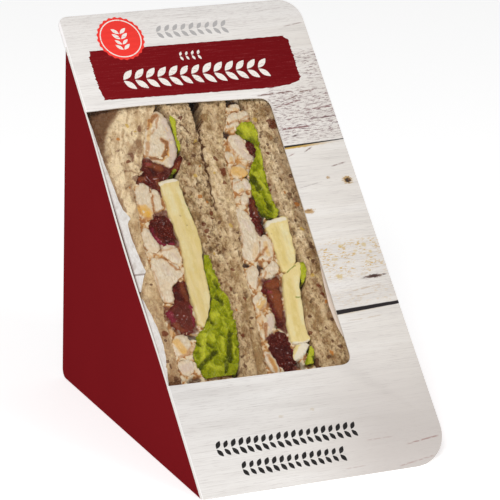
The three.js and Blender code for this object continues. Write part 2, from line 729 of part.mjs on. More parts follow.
// The shredded chicken and sauce that fills a half between its slices, behind the cut chunks.
const BEDS = {
  filling_a: {
    first: 9,
    last: 36,
    left: (v) => SEAMS.outerARight(v) + GAP,
    right: along([
      [41, 29], [43, 30.4], [50, 31], [57, 30.8], [61, 29.6], [65, 26], [68, 22.5], [76, 22.3],
      [95, 22.8], [106, 21.5], [116, 20.5], [124, 20.5], [128, 25], [134, 27.5], [143, 26.4], [168, 26.2],
    ]),
  },
  filling_b: {
    first: 8,
    last: 36,
    left: (v) => SEAMS.innerBRight(v) + GAP,
    right: along([
      [39, 59.6], [43, 60.6], [47, 62.4], [52, 63], [56, 61.6], [62, 61.2], [74, 60.5], [84, 60.6],
      [88, 57.2], [96, 57], [106, 57], [116, 55.5], [126, 53.4], [134, 53], [140, 56.4], [168, 57],
    ]),
  },
};

function bedSolid(bed) {
  return layerSolid({
    ...bed,
    face: FILLING_FACE,
    back: (v) => CUT_FACE + Math.max(loafReach(v - LOAF_HEAD) - 4, 3.5),
    edge: () => ({ leftIn: 0.4, leftDown: 0.4, rightIn: 0.4, rightDown: 0.4 }),
    across: 1,
  });
}

// ---- Film and lining ----

function filmSolid() {
  const sheet = roundedBox(
    INNER_LEFT + 0.1,
    WINDOW.top - FILM.lap,
    INNER_RIGHT - 0.1,
    WINDOW.bottom + FILM.lap + WINDOW.drop,
    [3, 3, 3, 3],
  );
  return sheetSolid(sheet, FILM.front, FILM.thickness, 4);
}

// The torn inner lining shows as a pale strip beside the left wall; [v, u] of its free edge.
const LININGS = {
  lining_upper: [
    [39, 1.5], [50, 2], [60, 2.5], [70, 3.3], [76, 3.9], [79.6, 5.6], [80.6, 5.8], [82.2, 4.4], [88, 4.1],
    [94, 4.6], [99, 5.3], [101, 5.6], [102, 4.8], [106, 2.8], [108.4, 1.7],
  ],
  lining_lower: [
    [111, 1.5], [114, 2.2], [119, 3.2], [124, 3.8], [130, 3.9], [136, 3.1], [141, 2], [144.4, 1.5],
  ],
};

function liningSolid(edge) {
  const shape = new THREE.Shape();
  const points = edge.map(([v, u]) => new THREE.Vector2(u, v));
  shape.moveTo(INNER_LEFT, points[0].y);
  shape.lineTo(points[0].x, points[0].y);
  shape.splineThru(points.slice(1));
  shape.lineTo(INNER_LEFT, points.at(-1).y);
  shape.closePath();
  return sheetSolid(shape, LINING.front, LINING.thickness, 2);
}

// ---- The pack, put together ----

const MATERIALS = {
  card: { color: 0xe2ded8, roughness: 0.55 },
  film: { color: 0xf4f6f6, roughness: 0.1, transparent: true, opacity: 0.2 },
  lining: { color: 0xe6e0da, roughness: 0.7 },
  bread: { color: 0xb49a72, roughness: 0.9 },
  chicken: { color: 0xd6c0a4, roughness: 0.6 },
  filling: { color: 0xa67f58, roughness: 0.7 },
  cranberry: { color: 0x551a16, roughness: 0.25 },
  cheese: { color: 0xdccb8c, roughness: 0.5 },
  lettuce: { color: 0x8a9a1e, roughness: 0.45 },
};
for (const name of Object.keys(MATERIALS)) {
  MATERIALS[name] = new THREE.MeshStandardMaterial({ ...MATERIALS[name], metalness: 0 });
}

const roomTaken = []; // pieces in place, each grown by the gap that its neighbours keep

function addPiece(name, solid, material, room = null) {
  const mesh = new THREE.Mesh(toGeometry(solid), MATERIALS[material]);
  mesh.name = name;
  pack.add(mesh);
  if (room) roomTaken.push(room);
}

function boxesMeet(a, b) {
  const [boxA, boxB] = [a.boundingBox(), b.boundingBox()];
  return [0, 1, 2].every((k) => boxA.min[k] < boxB.max[k] && boxB.min[k] < boxA.max[k]);
}

// What is left of a solid beside the pieces already in place.
function fitted(solid) {
  const near = roomTaken.filter((room) => boxesMeet(room, solid));
  return largestBody(near.reduce((left, room) => left.subtract(room), solid));
}

function addChunks(table, material, settings) {
  let seed = settings.seed;
  for (const [name, points] of Object.entries(table)) {
    const random = makeRandom(seed++);
    random();
    const chunk = {
      points,
      front: settings.front + settings.uneven * random(),
      deep: settings.deep,
      round: settings.round,
      tilt: settings.tilt * (random() - 0.5),
      spacing: settings.spacing,
    };
    addPiece(name, fitted(chunkSolid(chunk)), material, chunkRoom(chunk));
  }
}

addPiece("carton", cartonSolid(), "card");
addPiece("window_film", filmSolid(), "film");
for (const [name, edge] of Object.entries(LININGS)) addPiece(name, liningSolid(edge), "lining");

addChunks(CHEESE, "cheese", {
  front: 1.9,
  uneven: 0.3,
  deep: 38,
  round: 0.6,
  tilt: 0.02,
  spacing: 3,
  seed: 11,
});
addChunks(CHICKEN, "chicken", {
  front: 1.9,
  uneven: 0.7,
  deep: 9,
  round: 0.7,
  tilt: 0.1,
  spacing: 1.9,
  seed: 29,
});
addChunks(CRANBERRY, "cranberry", {
  front: 1.8,
  uneven: 0.4,
  deep: 8,
  round: 0.9,
  tilt: 0.05,
  spacing: 2,
  seed: 71,
});
addChunks(LETTUCE_STRIPS, "lettuce", {
  front: 1.8,
  uneven: 0.3,
  deep: 11,
  round: 0.25,
  tilt: 0.03,
  spacing: 2,
  seed: 97,
});
Object.entries(LETTUCE).forEach(([name, leaf], i) => {
  const seed = 5 + 7 * i;
  addPiece(name, fitted(leafSolid(leaf, seed)), "lettuce", leafRoom(leaf));
});
for (const [name, bed] of Object.entries(BEDS)) addPiece(name, fitted(bedSolid(bed)), "filling");
for (const [name, make] of Object.entries(BREAD)) addPiece(name, fitted(make()), "bread");

export default pack;
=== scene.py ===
# A cut chicken, soft cheese, cranberry and lettuce sandwich in its wedge pack of printed card.
# Every piece is laid out on the sloping front in millimetres: across from the left fold, down from the
# top edge, and deep into the pack. toRow turns that into the frame's metres.
import math

import bmesh
import bpy
import numpy as np
from mathutils import Matrix, Vector
from mathutils.bvhtree import BVHTree
from mathutils.geometry import tessellate_polygon


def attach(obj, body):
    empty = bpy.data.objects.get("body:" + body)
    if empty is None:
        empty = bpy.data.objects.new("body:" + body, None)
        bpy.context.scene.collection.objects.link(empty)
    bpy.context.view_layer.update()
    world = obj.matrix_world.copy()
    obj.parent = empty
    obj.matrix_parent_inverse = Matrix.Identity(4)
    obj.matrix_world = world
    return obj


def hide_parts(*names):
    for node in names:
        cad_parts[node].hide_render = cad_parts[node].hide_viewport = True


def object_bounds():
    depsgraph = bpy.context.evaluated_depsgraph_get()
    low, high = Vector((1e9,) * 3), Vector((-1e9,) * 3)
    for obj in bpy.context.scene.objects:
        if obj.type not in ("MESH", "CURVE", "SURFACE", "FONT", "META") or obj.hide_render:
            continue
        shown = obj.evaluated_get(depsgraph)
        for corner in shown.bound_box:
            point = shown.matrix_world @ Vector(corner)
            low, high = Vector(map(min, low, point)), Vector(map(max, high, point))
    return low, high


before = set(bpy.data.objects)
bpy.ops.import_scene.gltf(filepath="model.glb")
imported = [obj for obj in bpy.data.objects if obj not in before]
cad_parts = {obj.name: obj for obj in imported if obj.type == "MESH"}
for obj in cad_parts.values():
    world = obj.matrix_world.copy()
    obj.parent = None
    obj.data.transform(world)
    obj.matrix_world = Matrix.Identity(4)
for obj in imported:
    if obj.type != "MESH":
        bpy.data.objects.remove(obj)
cadLow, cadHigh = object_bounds()
print("frame loaded,", len(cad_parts), "nodes")

pack = {
    "leg": 123.0,  # base and back of the side walls
    "width": 72.0,
    "panelWidth": 93.9,
    "header": 12.2,
    "headerCut": 12.3,  # just under the header, where the fold begins
    "board": 0.6,
    "bulge": 0.78,  # of the left wall beside the window
    "backRadius": 3.0,
    "foldRadius": 0.7,
}
halfRoot = math.sqrt(0.5)
slopeLength = pack["leg"] * math.sqrt(2) + pack["header"]
packDepth = (slopeLength + pack["board"]) * halfRoot
leftFold = cadHigh.x * 1000 - pack["panelWidth"]


def toRow(points):
    across, down, deep = np.asarray(points, float).T
    up = slopeLength - down
    y = (up + deep) * halfRoot - packDepth / 2
    return np.column_stack([across + leftFold, y, (up - deep) * halfRoot]) / 1000


def toPanel(points):
    x, y, z = np.asarray(points, float).T * 1000
    y = y + packDepth / 2
    return np.column_stack([x - leftFold, slopeLength - (y + z) * halfRoot, (y - z) * halfRoot])


def makeNoise(seed):
    rng = np.random.default_rng(seed)
    order = np.tile(rng.permutation(256), 2)
    slopes = rng.normal(size=(256, 3))
    slopes /= np.linalg.norm(slopes, axis=1)[:, None]

    def noise(points):
        cell = np.floor(points).astype(int)
        part = points - cell
        fade = part**3 * (part * (part * 6 - 15) + 10)
        cell &= 255
        total = np.zeros(len(points))
        for corner in range(8):
            step = np.array([corner & 1, corner >> 1 & 1, corner >> 2 & 1])
            a, b, c = ((cell + step) & 255).T
            slope = slopes[order[order[order[a] + b] + c]]
            share = np.where(step, fade, 1 - fade).prod(axis=1)
            total += share * ((part - step) * slope).sum(axis=1)
        return total * 1.5

    return noise


noiseA, noiseB, noiseC = makeNoise(3), makeNoise(14), makeNoise(25)


def layered(noise, points, octaves=3, falloff=0.5):
    total, strength = np.zeros(len(points)), 1.0
    for level in range(octaves):
        total += strength * noise(points * 2**level + 7.3 * level)
        strength *= falloff
    return total


def smoothStep(value, low, high):
    t = np.clip((value - low) / (high - low), 0, 1)
    return t * t * (3 - 2 * t)


def leaning(points, stretch, lean):
    # across and down turned by lean degrees, with the long way squeezed: noise comes out drawn along it
    angle = math.radians(lean)
    across, down, deep = points.T
    along = down * math.cos(angle) - across * math.sin(angle)
    aside = across * math.cos(angle) + down * math.sin(angle)
    return np.column_stack([aside, along / stretch, deep])


def drift(across, down):
    # a push within the front only
    return np.column_stack([across, down, np.zeros(len(across))])


def toStroke(points, line):
    # distance of each point to a broken line on the front
    best = np.full(len(points), 1e9)
    flat = points[:, :2]
    for start, end in zip(line[:-1], line[1:]):
        start, run = np.array(start, float), np.array(end, float) - start
        t = np.clip(((flat - start) @ run) / max(run @ run, 1e-9), 0, 1)
        best = np.minimum(best, np.linalg.norm(flat - start - t[:, None] * run, axis=1))
    return best


def srgb(red, green, blue):
    def linear(value):
        value /= 255
        return value / 12.92 if value <= 0.04045 else ((value + 0.055) / 1.055) ** 2.4

    return (linear(red), linear(green), linear(blue), 1.0)


class Wire:
    # one value of a material, so that maths on it reads as an expression
    def __init__(self, finish, socket):
        self.finish = finish
        self.socket = socket

    def calc(self, operation, *others):
        return self.finish.node("ShaderNodeMath", {"operation": operation}, (self, *others))

    def __add__(self, other):
        return self.calc("ADD", other)

    def __mul__(self, other):
        return self.calc("MULTIPLY", other)

    def __sub__(self, other):
        return self.calc("SUBTRACT", other)

    def __rsub__(self, other):
        return self.finish.node("ShaderNodeMath", {"operation": "SUBTRACT"}, (other, self))

    def __truediv__(self, other):
        return self.calc("DIVIDE", other)

    __radd__ = __add__

    def atMost(self, other):
        return self.calc("MINIMUM", other)

    def atLeast(self, other):
        return self.calc("MAXIMUM", other)

    def power(self, other):
        return self.calc("POWER", other)

    def size(self):
        return self.calc("ABSOLUTE")

    def step(self, low, high):
        # 0 below low, 1 above high, smooth between them; turned round where low is the larger
        ends = (low, high, 0.0, 1.0) if low < high else (high, low, 1.0, 0.0)
        return self.finish.node("ShaderNodeMapRange", {"interpolation_type": "SMOOTHSTEP"}, (self, *ends))


class Finish:
    # a material on the Principled shader, with the pack's own coordinates in millimetres
    def __init__(self, name, roughness, fixed=None):
        self.material = bpy.data.materials.new(name)
        self.material.use_nodes = True
        self.tree = self.material.node_tree
        self.shader = self.tree.nodes["Principled BSDF"]
        self.base = None
        for socket, value in {"Roughness": roughness, **(fixed or {})}.items():
            self.shader.inputs[socket].default_value = value
        place = self.node("ShaderNodeTexCoord", {}, (), "Object")
        parts = self.tree.nodes.new("ShaderNodeSeparateXYZ")
        self.tree.links.new(place.socket, parts.inputs[0])
        x, y, z = (Wire(self, parts.outputs[k]) for k in range(3))
        self.across = x * 1000 - leftFold
        self.down = slopeLength - packDepth / 2 * halfRoot - (y + z) * (1000 * halfRoot)
        self.deep = (y - z) * (1000 * halfRoot) + packDepth / 2 * halfRoot

    def node(self, kind, settings, inputs, output=0):
        made = self.tree.nodes.new(kind)
        for name, value in settings.items():
            setattr(made, name, value)
        pairs = inputs.items() if isinstance(inputs, dict) else enumerate(inputs)
        for key, value in pairs:
            if isinstance(value, Wire):
                self.tree.links.new(value.socket, made.inputs[key])
            else:
                made.inputs[key].default_value = value
        return Wire(self, made.outputs[output])

    def spot(self, perMm, seed, shift=0.0):
        # the place on the pack; perMm is how fast a pattern runs across, down and deep
        parts = [axis * rate for axis, rate in zip((self.across, self.down, self.deep), perMm)]
        parts[0] = parts[0] + seed + shift
        return self.node("ShaderNodeCombineXYZ", {}, parts)

    def noise(self, perMm, detail=3.0, roughness=0.55, seed=0.0, shift=0.0):
        vector = self.spot(perMm, seed, shift)
        inputs = {"Vector": vector, "Scale": 1.0, "Detail": detail, "Roughness": roughness}
        return self.node("ShaderNodeTexNoise", {}, inputs)

    def cells(self, perMm, seed):
        # distance to the nearest of some scattered points
        inputs = {"Vector": self.spot(perMm, seed), "Scale": 1.0, "Randomness": 1.0}
        return self.node("ShaderNodeTexVoronoi", {"feature": "F1"}, inputs, "Distance")

    def attribute(self, name):
        return self.node("ShaderNodeAttribute", {"attribute_name": name}, (), "Fac")

    def mix(self, factor, first, second):
        # each is a wire, or red, green and blue as a picture has them
        first, second = (c if isinstance(c, Wire) else srgb(*c) for c in (first, second))
        return self.node("ShaderNodeMix", {"data_type": "RGBA"}, {0: factor, 6: first, 7: second}, 2)

    def lay(self, factor, colour):
        # a colour over what the material has so far
        self.base = self.mix(factor, self.base, colour)

    def blot(self, across, down, wide, tall, edge, wobble):
        # 1 inside a ragged oval of these half sizes, fading out over its rim
        aside = (self.across - across) / wide
        below = (self.down - down) / tall
        reach = (aside * aside + below * below).power(0.5) + wobble
        return reach.step(1.0 + edge / 2, 1.0 - edge / 2)

    def colour(self):
        self.tree.links.new(self.base.socket, self.shader.inputs["Base Color"])

    def rough(self, wire):
        self.tree.links.new(wire.socket, self.shader.inputs["Roughness"])

    def bump(self, height, distance, strength=1.0):
        # distance in mm for a height of 1
        settings = {"Strength": strength, "Distance": distance / 1000, "Height": height}
        bump = self.node("ShaderNodeBump", {}, settings, "Normal")
        self.tree.links.new(bump.socket, self.shader.inputs["Normal"])


def addPiece(name, points, faces, material, replaced=(), sharp=None, marks=None):
    # points are panel millimetres; marks are values for the points that the material reads
    mesh = bpy.data.meshes.new(name)
    mesh.from_pydata(toRow(points).tolist(), [], [list(face) for face in faces])
    shell = bmesh.new()
    shell.from_mesh(mesh)
    bmesh.ops.recalc_face_normals(shell, faces=shell.faces)
    shell.to_mesh(mesh)
    shell.free()
    mesh.shade_smooth()
    if sharp is not None:
        mesh.set_sharp_from_angle(angle=math.radians(sharp))
    for mark, values in (marks or {}).items():
        layer = mesh.attributes.new(mark, "FLOAT", "POINT")
        layer.data.foreach_set("value", np.asarray(values, np.float32))
    mesh.materials.append(material)
    piece = bpy.data.objects.new(name, mesh)
    bpy.context.scene.collection.objects.link(piece)
    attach(piece, "root")
    if replaced:
        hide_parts(*replaced)


def ringFaces(levels, count, closed=False):
    # the faces from ring to ring, and from the last ring to the first if closed
    faces = []
    for level in range(levels if closed else levels - 1):
        here, there = level * count, (level + 1) % levels * count
        for i in range(count):
            j = (i + 1) % count
            faces.append((here + i, here + j, there + j, there + i))
    return faces


def cardSheet(outline, front, back, soften=0.08):
    # a closed flat sheet with softened edges, as points and faces
    loop = np.array(outline, float)
    before, after = np.roll(loop, 1, axis=0), np.roll(loop, -1, axis=0)
    area = (loop[:, 0] * after[:, 1] - after[:, 0] * loop[:, 1]).sum()
    run = after - before
    run /= np.linalg.norm(run, axis=1)[:, None]
    inward = np.column_stack([-run[:, 1], run[:, 0]]) * (1 if area > 0 else -1)
    rings = [(soften, front), (0.3 * soften, front + 0.3 * soften), (0, front + soften)]
    rings += [(0, back - soften), (0.3 * soften, back - 0.3 * soften), (soften, back)]
    count = len(loop)
    points = [np.column_stack([loop + inset * inward, np.full(count, deep)]) for inset, deep in rings]
    inner = [Vector((x, y, 0)) for x, y in (loop + soften * inward)]
    caps = tessellate_polygon([inner])
    top = (len(rings) - 1) * count
    faces = ringFaces(len(rings), count)
    faces += [tuple(cap) for cap in caps] + [tuple(top + i for i in reversed(cap)) for cap in caps]
    return np.vstack(points), faces


def arcPoints(centre, radius, start, end, steps):
    angles = np.radians(np.linspace(start, end, steps + 1))
    return [(centre[0] + radius * math.cos(a), centre[1] + radius * math.sin(a)) for a in angles]


def roundedBox(left, top, right, bottom, radii, steps=12):
    # corner radii go round from the top left
    corners = [(left, top, 1, 1, 180), (right, top, -1, 1, 270), (right, bottom, -1, -1, 0)]
    corners.append((left, bottom, 1, -1, 90))
    outline = []
    for (x, y, inX, inY, start), radius in zip(corners, radii):
        if radius == 0:
            outline.append((x, y))
            continue
        centre = (x + inX * radius, y + inY * radius)
        outline += arcPoints(centre, radius, start, start + 90, steps)
    return outline


def bezier(start, pull, end, steps):
    t = np.linspace(0, 1, steps + 1)[:, None]
    start, pull, end = (np.array(p, float) for p in (start, pull, end))
    return [tuple(p) for p in (1 - t) ** 2 * start + 2 * t * (1 - t) * pull + t**2 * end]


def skinOf(rings):
    # a closed skin over rings of equal count, capped at both ends
    count = len(rings[0])
    faces = ringFaces(len(rings), count)
    last = (len(rings) - 1) * count
    for i in range(count // 2 - 1):
        mirror = count - 1 - i
        faces.append((i, mirror, mirror - 1, i + 1))
        faces.append((last + i, last + i + 1, last + mirror - 1, last + mirror))
    return np.vstack(rings), faces


def gridOf(across, downs, deep=0.0):
    # a grid's points row by row, from the places across in each row and the place down of each row
    down = np.repeat(downs, across.shape[1])
    return np.column_stack([across.ravel(), down, np.broadcast_to(deep, across.shape).ravel()])


def sheetOver(face, thick):
    # a thin closed sheet behind the rows of a grid
    return skinOf([np.vstack([row, (row + (0, 0, thick))[::-1]]) for row in face])


def overRings(marks, rows, around):
    # marks on a grid's points, handed on to all the points that a ring has round each row
    return {mark: values.reshape(rows, -1)[:, around].ravel() for mark, values in marks.items()}


def vectorsOf(vertices, kind):
    flat = np.empty(len(vertices) * 3)
    vertices.foreach_get(kind, flat)
    return flat.reshape(-1, 3)


filling = {"rise": 0.65}


def nodeShape(name):
    # a CAD node's corners, joined up, in panel millimetres, with its faces
    shell = bmesh.new()
    shell.from_mesh(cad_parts[name].data)
    bmesh.ops.remove_doubles(shell, verts=shell.verts, dist=1e-6)
    points = toPanel([tuple(v.co) for v in shell.verts])
    faces = [[v.index for v in face.verts] for face in shell.faces]
    shell.free()
    return points, faces


def raised(points):
    # the filling shows slightly higher up the window than its nodes
    return points - (0, filling["rise"], 0)


def nodeTree(name):
    points, faces = nodeShape(name)
    return BVHTree.FromPolygons(points.tolist(), faces)


def smoothed(values, spread):
    # a running average along the first axis, spread in samples
    if spread < 0.3:
        return values
    reach = int(3 * spread)
    weights = np.exp(-0.5 * (np.arange(-reach, reach + 1) / spread) ** 2)
    weights /= weights.sum()
    padded = np.concatenate([values[:1].repeat(reach, 0), values, values[-1:].repeat(reach, 0)])
    return sum(w * padded[k : k + len(values)] for k, w in enumerate(weights))


def scatterDraws(cell, seed):
    # three even draws for each square of a grid
    number = (cell[:, 0] * 73856093) ^ (cell[:, 1] * 19349663) ^ (seed * 83492791)
    draws = []
    for turn in range(3):
        number = ((number ^ (number >> 13)) * 1274126177 + 374761393 * (turn + 1)) & 0x7FFFFFFF
        draws.append(((number >> 7) & 0xFFFF) / 65535)
    return draws


def pores(points, spacing, seed, keep, small, large, stretch, lean):
    # how deep each point lies in a scatter of long holes, 1 in the middle of one and 0 outside
    spot = leaning(points, stretch, lean)[:, :2]
    cell = np.floor(spot / spacing).astype(np.int64)
    depth = np.zeros(len(points))
    for stepX in (-1, 0, 1):
        for stepY in (-1, 0, 1):
            home = cell + (stepX, stepY)
            across, along, chance = scatterDraws(home, seed)
            centre = (home + np.column_stack([across, along])) * spacing
            radius = small + (large - small) * ((chance * 7.31) % 1)
            reach = np.linalg.norm(spot - centre, axis=1) / radius
            depth = np.maximum(depth, smoothStep(-reach, -1, -0.35) * (chance < keep))
    return depth


def painted(points, strokes, wobble):
    # the strongest of some strokes at each point; a stroke is its half width, its strength and its line
    spot = points.copy()
    spot[:, 0] += wobble * noiseA(points / 1.7)
    spot[:, 1] += wobble * noiseB(points / 1.7)
    value = np.zeros(len(points))
    for halfWidth, strength, *line in strokes:
        line = line if len(line) > 1 else line * 2
        reach = toStroke(spot, line) / halfWidth
        value = np.maximum(value, strength * smoothStep(-reach, -1.35, -0.55))
    return value


def strokeMarks(points, table, wobble):
    return {kind: painted(points, strokes, wobble) for kind, strokes in table.items()}


def scanRow(tree, scan, down, start):
    # the places across where a shape lies at one place down the front, each with its depth
    hits = [(u, tree.ray_cast(Vector((u, down, start)), Vector((0, 0, 1)))[0]) for u in scan]
    return [(u, hit.z) for u, hit in hits if hit is not None]


# The view is the photograph's. A large soft light stands at the upper left, a weaker one at the right.
view = {"place": (-0.4222, -0.8781, 0.3813), "yaw": 25.69, "pitch": 18.22, "roll": 1.74, "lens": 213.1}
light = {
    "world": (1.0, 1.0, 1.0, 1.0),
    "worldStrength": 0.33,
    "key": ((-0.7, -0.95, 1.15), 0.6, 12.5),  # place, side and power
    "front": ((0.75, -1.1, 0.75), 0.7, 4.5),
    "target": (0, 0, 0.06),
    "floor": (0.9, 0.9, 0.9, 1.0),
    "floorTint": (1.0, 1.0, 1.0, 1.0),
    "floorGlow": 0.47,
}


def addView():
    camera = bpy.data.objects.new("camera", bpy.data.cameras.new("camera"))
    bpy.context.scene.collection.objects.link(camera)
    yaw, pitch, roll = (math.radians(view[key]) for key in ("yaw", "pitch", "roll"))
    forward = Vector(
        (math.sin(yaw) * math.cos(pitch), math.cos(yaw) * math.cos(pitch), -math.sin(pitch))
    )
    right = Vector((math.cos(yaw), -math.sin(yaw), 0))
    up = right.cross(forward)
    tiltedRight = math.cos(roll) * right + math.sin(roll) * up
    tiltedUp = math.cos(roll) * up - math.sin(roll) * right
    turn = Matrix((tiltedRight, tiltedUp, -forward)).transposed()
    camera.matrix_world = Matrix.Translation(view["place"]) @ turn.to_4x4()
    camera.data.sensor_width = 36
    camera.data.lens = view["lens"]
    camera.data.clip_start, camera.data.clip_end = 0.01, 50
    bpy.context.scene.camera = camera


def addLight(name, place, side, power):
    lamp = bpy.data.objects.new(name, bpy.data.lights.new(name, "AREA"))
    bpy.context.scene.collection.objects.link(lamp)
    lamp.data.shape = "SQUARE"
    lamp.data.size = side
    lamp.data.energy = power
    lamp.location = place
    lamp.rotation_euler = (Vector(light["target"]) - Vector(place)).to_track_quat("-Z", "Y").to_euler()


def addStage():
    scene = bpy.context.scene
    scene.view_settings.view_transform = "Standard"
    world = bpy.data.worlds.new("studio")
    scene.world = world
    world.use_nodes = True
    background = world.node_tree.nodes["Background"]
    background.inputs["Color"].default_value = light["world"]
    background.inputs["Strength"].default_value = light["worldStrength"]
    addLight("keyLight", *light["key"])
    addLight("frontLight", *light["front"])
    mesh = bpy.data.meshes.new("floor")
    mesh.from_pydata([(-8, -8, 0), (8, -8, 0), (8, 8, 0), (-8, 8, 0)], [], [(0, 1, 2, 3)])
    floor = bpy.data.objects.new("floor", mesh)
    scene.collection.objects.link(floor)
    paint = {"Base Color": light["floor"], "Emission Color": light["floorTint"]}
    paint["Emission Strength"] = light["floorGlow"]
    mesh.materials.append(Finish("floorPaint", 0.9, paint).material)


addView()
addStage()
print("camera, lights and floor set")

# The printed card: whitewashed planks on the front, plain dark red outside the box, white raw board.
card = {
    "paleLeft": (232, 228, 224),
    "paleRight": (229, 223, 216),
    "header": (233, 229, 225),
    "edgeStrip": (248, 244, 244),
    "red": (125, 26, 31),
    "board": (238, 235, 230),
    "grainDark": (118, 92, 94),
    "ochre": (172, 132, 66),
    "nearBlack": (34, 28, 30),
    "seam1": (60.2, -0.042, 0.33),  # down at across 70, fall, half height
    "seam2": (126.0, -0.046, 0.74),
}

# blemishes: across, down, half sizes, strength and colour
blemishes = [
    (90.0, 75.7, 2.0, 1.6, 0.5, (206, 178, 128)),
    (90.0, 75.7, 1.6, 1.3, 0.95, card["ochre"]),
    (90.2, 75.8, 1.15, 0.9, 1.0, (60, 48, 44)),
    (90.6, 75.6, 0.45, 0.4, 0.8, (120, 84, 52)),
    (82.9, 74.0, 0.7, 0.5, 0.7, card["ochre"]),
    (71.4, 86.3, 2.0, 0.95, 0.9, (184, 142, 80)),
    (71.2, 86.0, 1.2, 0.3, 0.6, (112, 82, 62)),
    (79.0, 101.0, 0.9, 0.6, 0.5, (206, 176, 92)),
    (87.9, 101.6, 0.9, 0.9, 0.5, (206, 176, 92)),
    (84.0, 103.5, 0.7, 0.5, 0.45, (206, 176, 92)),
    (89.6, 104.4, 0.6, 0.6, 0.5, (206, 176, 92)),
    (87.3, 108.2, 0.7, 0.5, 0.4, (206, 176, 92)),
    (74.9, 112.6, 1.3, 1.0, 0.6, (204, 172, 84)),
    (75.4, 105.9, 1.0, 0.6, 0.35, (206, 176, 92)),
    (87.8, 114.0, 3.2, 0.7, 0.75, (120, 92, 74)),
    (88.0, 113.9, 1.7, 0.6, 0.95, (58, 42, 38)),
    (37.0, 161.0, 0.9, 0.5, 0.3, (190, 165, 120)),
    (49.0, 160.0, 0.8, 0.5, 0.3, (190, 165, 120)),
]
# cracks and scratches: two ends, half width, strength and colour
scratches = [
    (66, 38.7, 80, 38.2, 0.26, 0.9, (112, 74, 66)),
    (82, 38.7, 88.4, 38.4, 0.24, 0.85, (120, 84, 74)),
    (77, 41.4, 81.4, 40.2, 0.24, 0.9, (112, 78, 72)),
    (71, 44.4, 82.4, 41.9, 0.22, 0.85, (128, 84, 84)),
    (83, 46.3, 94, 45.3, 0.22, 0.85, (128, 84, 84)),
    (83, 50.0, 94, 49.6, 0.26, 0.9, (104, 70, 72)),
    (70.6, 53.1, 83, 52.8, 0.26, 0.9, (120, 70, 72)),
    (74.2, 56.5, 77.2, 55.6, 0.28, 0.95, (92, 66, 66)),
    (82.6, 114.3, 93, 113.7, 0.26, 0.95, (76, 50, 46)),
    (77, 63, 81, 61, 0.2, 0.8, (110, 78, 70)),
    (70.4, 64.1, 73.4, 63, 0.18, 0.7, (150, 110, 100)),
    (85.6, 69.7, 91.4, 68.6, 0.2, 0.8, (122, 84, 80)),
    (70.7, 77, 80, 75.3, 0.16, 0.3, card["grainDark"]),
    (77, 118.8, 90, 117.2, 0.2, 0.4, card["ochre"]),
    (78, 120.8, 86, 120.2, 0.16, 0.35, card["ochre"]),
    (72, 129.8, 86, 129.0, 0.16, 0.35, card["ochre"]),
    (85, 11.4, 93, 10.3, 0.18, 0.6, (140, 110, 104)),
    (65, 174, 75, 174, 0.16, 0.35, (160, 118, 112)),
    (79, 177.5, 92, 176.1, 0.22, 0.65, (150, 104, 98)),
    (54, 183, 62, 182.9, 0.15, 0.3, (160, 118, 112)),
    (74, 185, 88, 183, 0.2, 0.45, (156, 112, 106)),
    (30, 3.2, 60, 2.6, 0.12, 0.25, (150, 135, 130)),
    (2, 26, 6.5, 25.6, 0.14, 0.3, (150, 130, 126)),
    (74, 4.4, 90, 3.2, 0.12, 0.3, (150, 130, 126)),
]


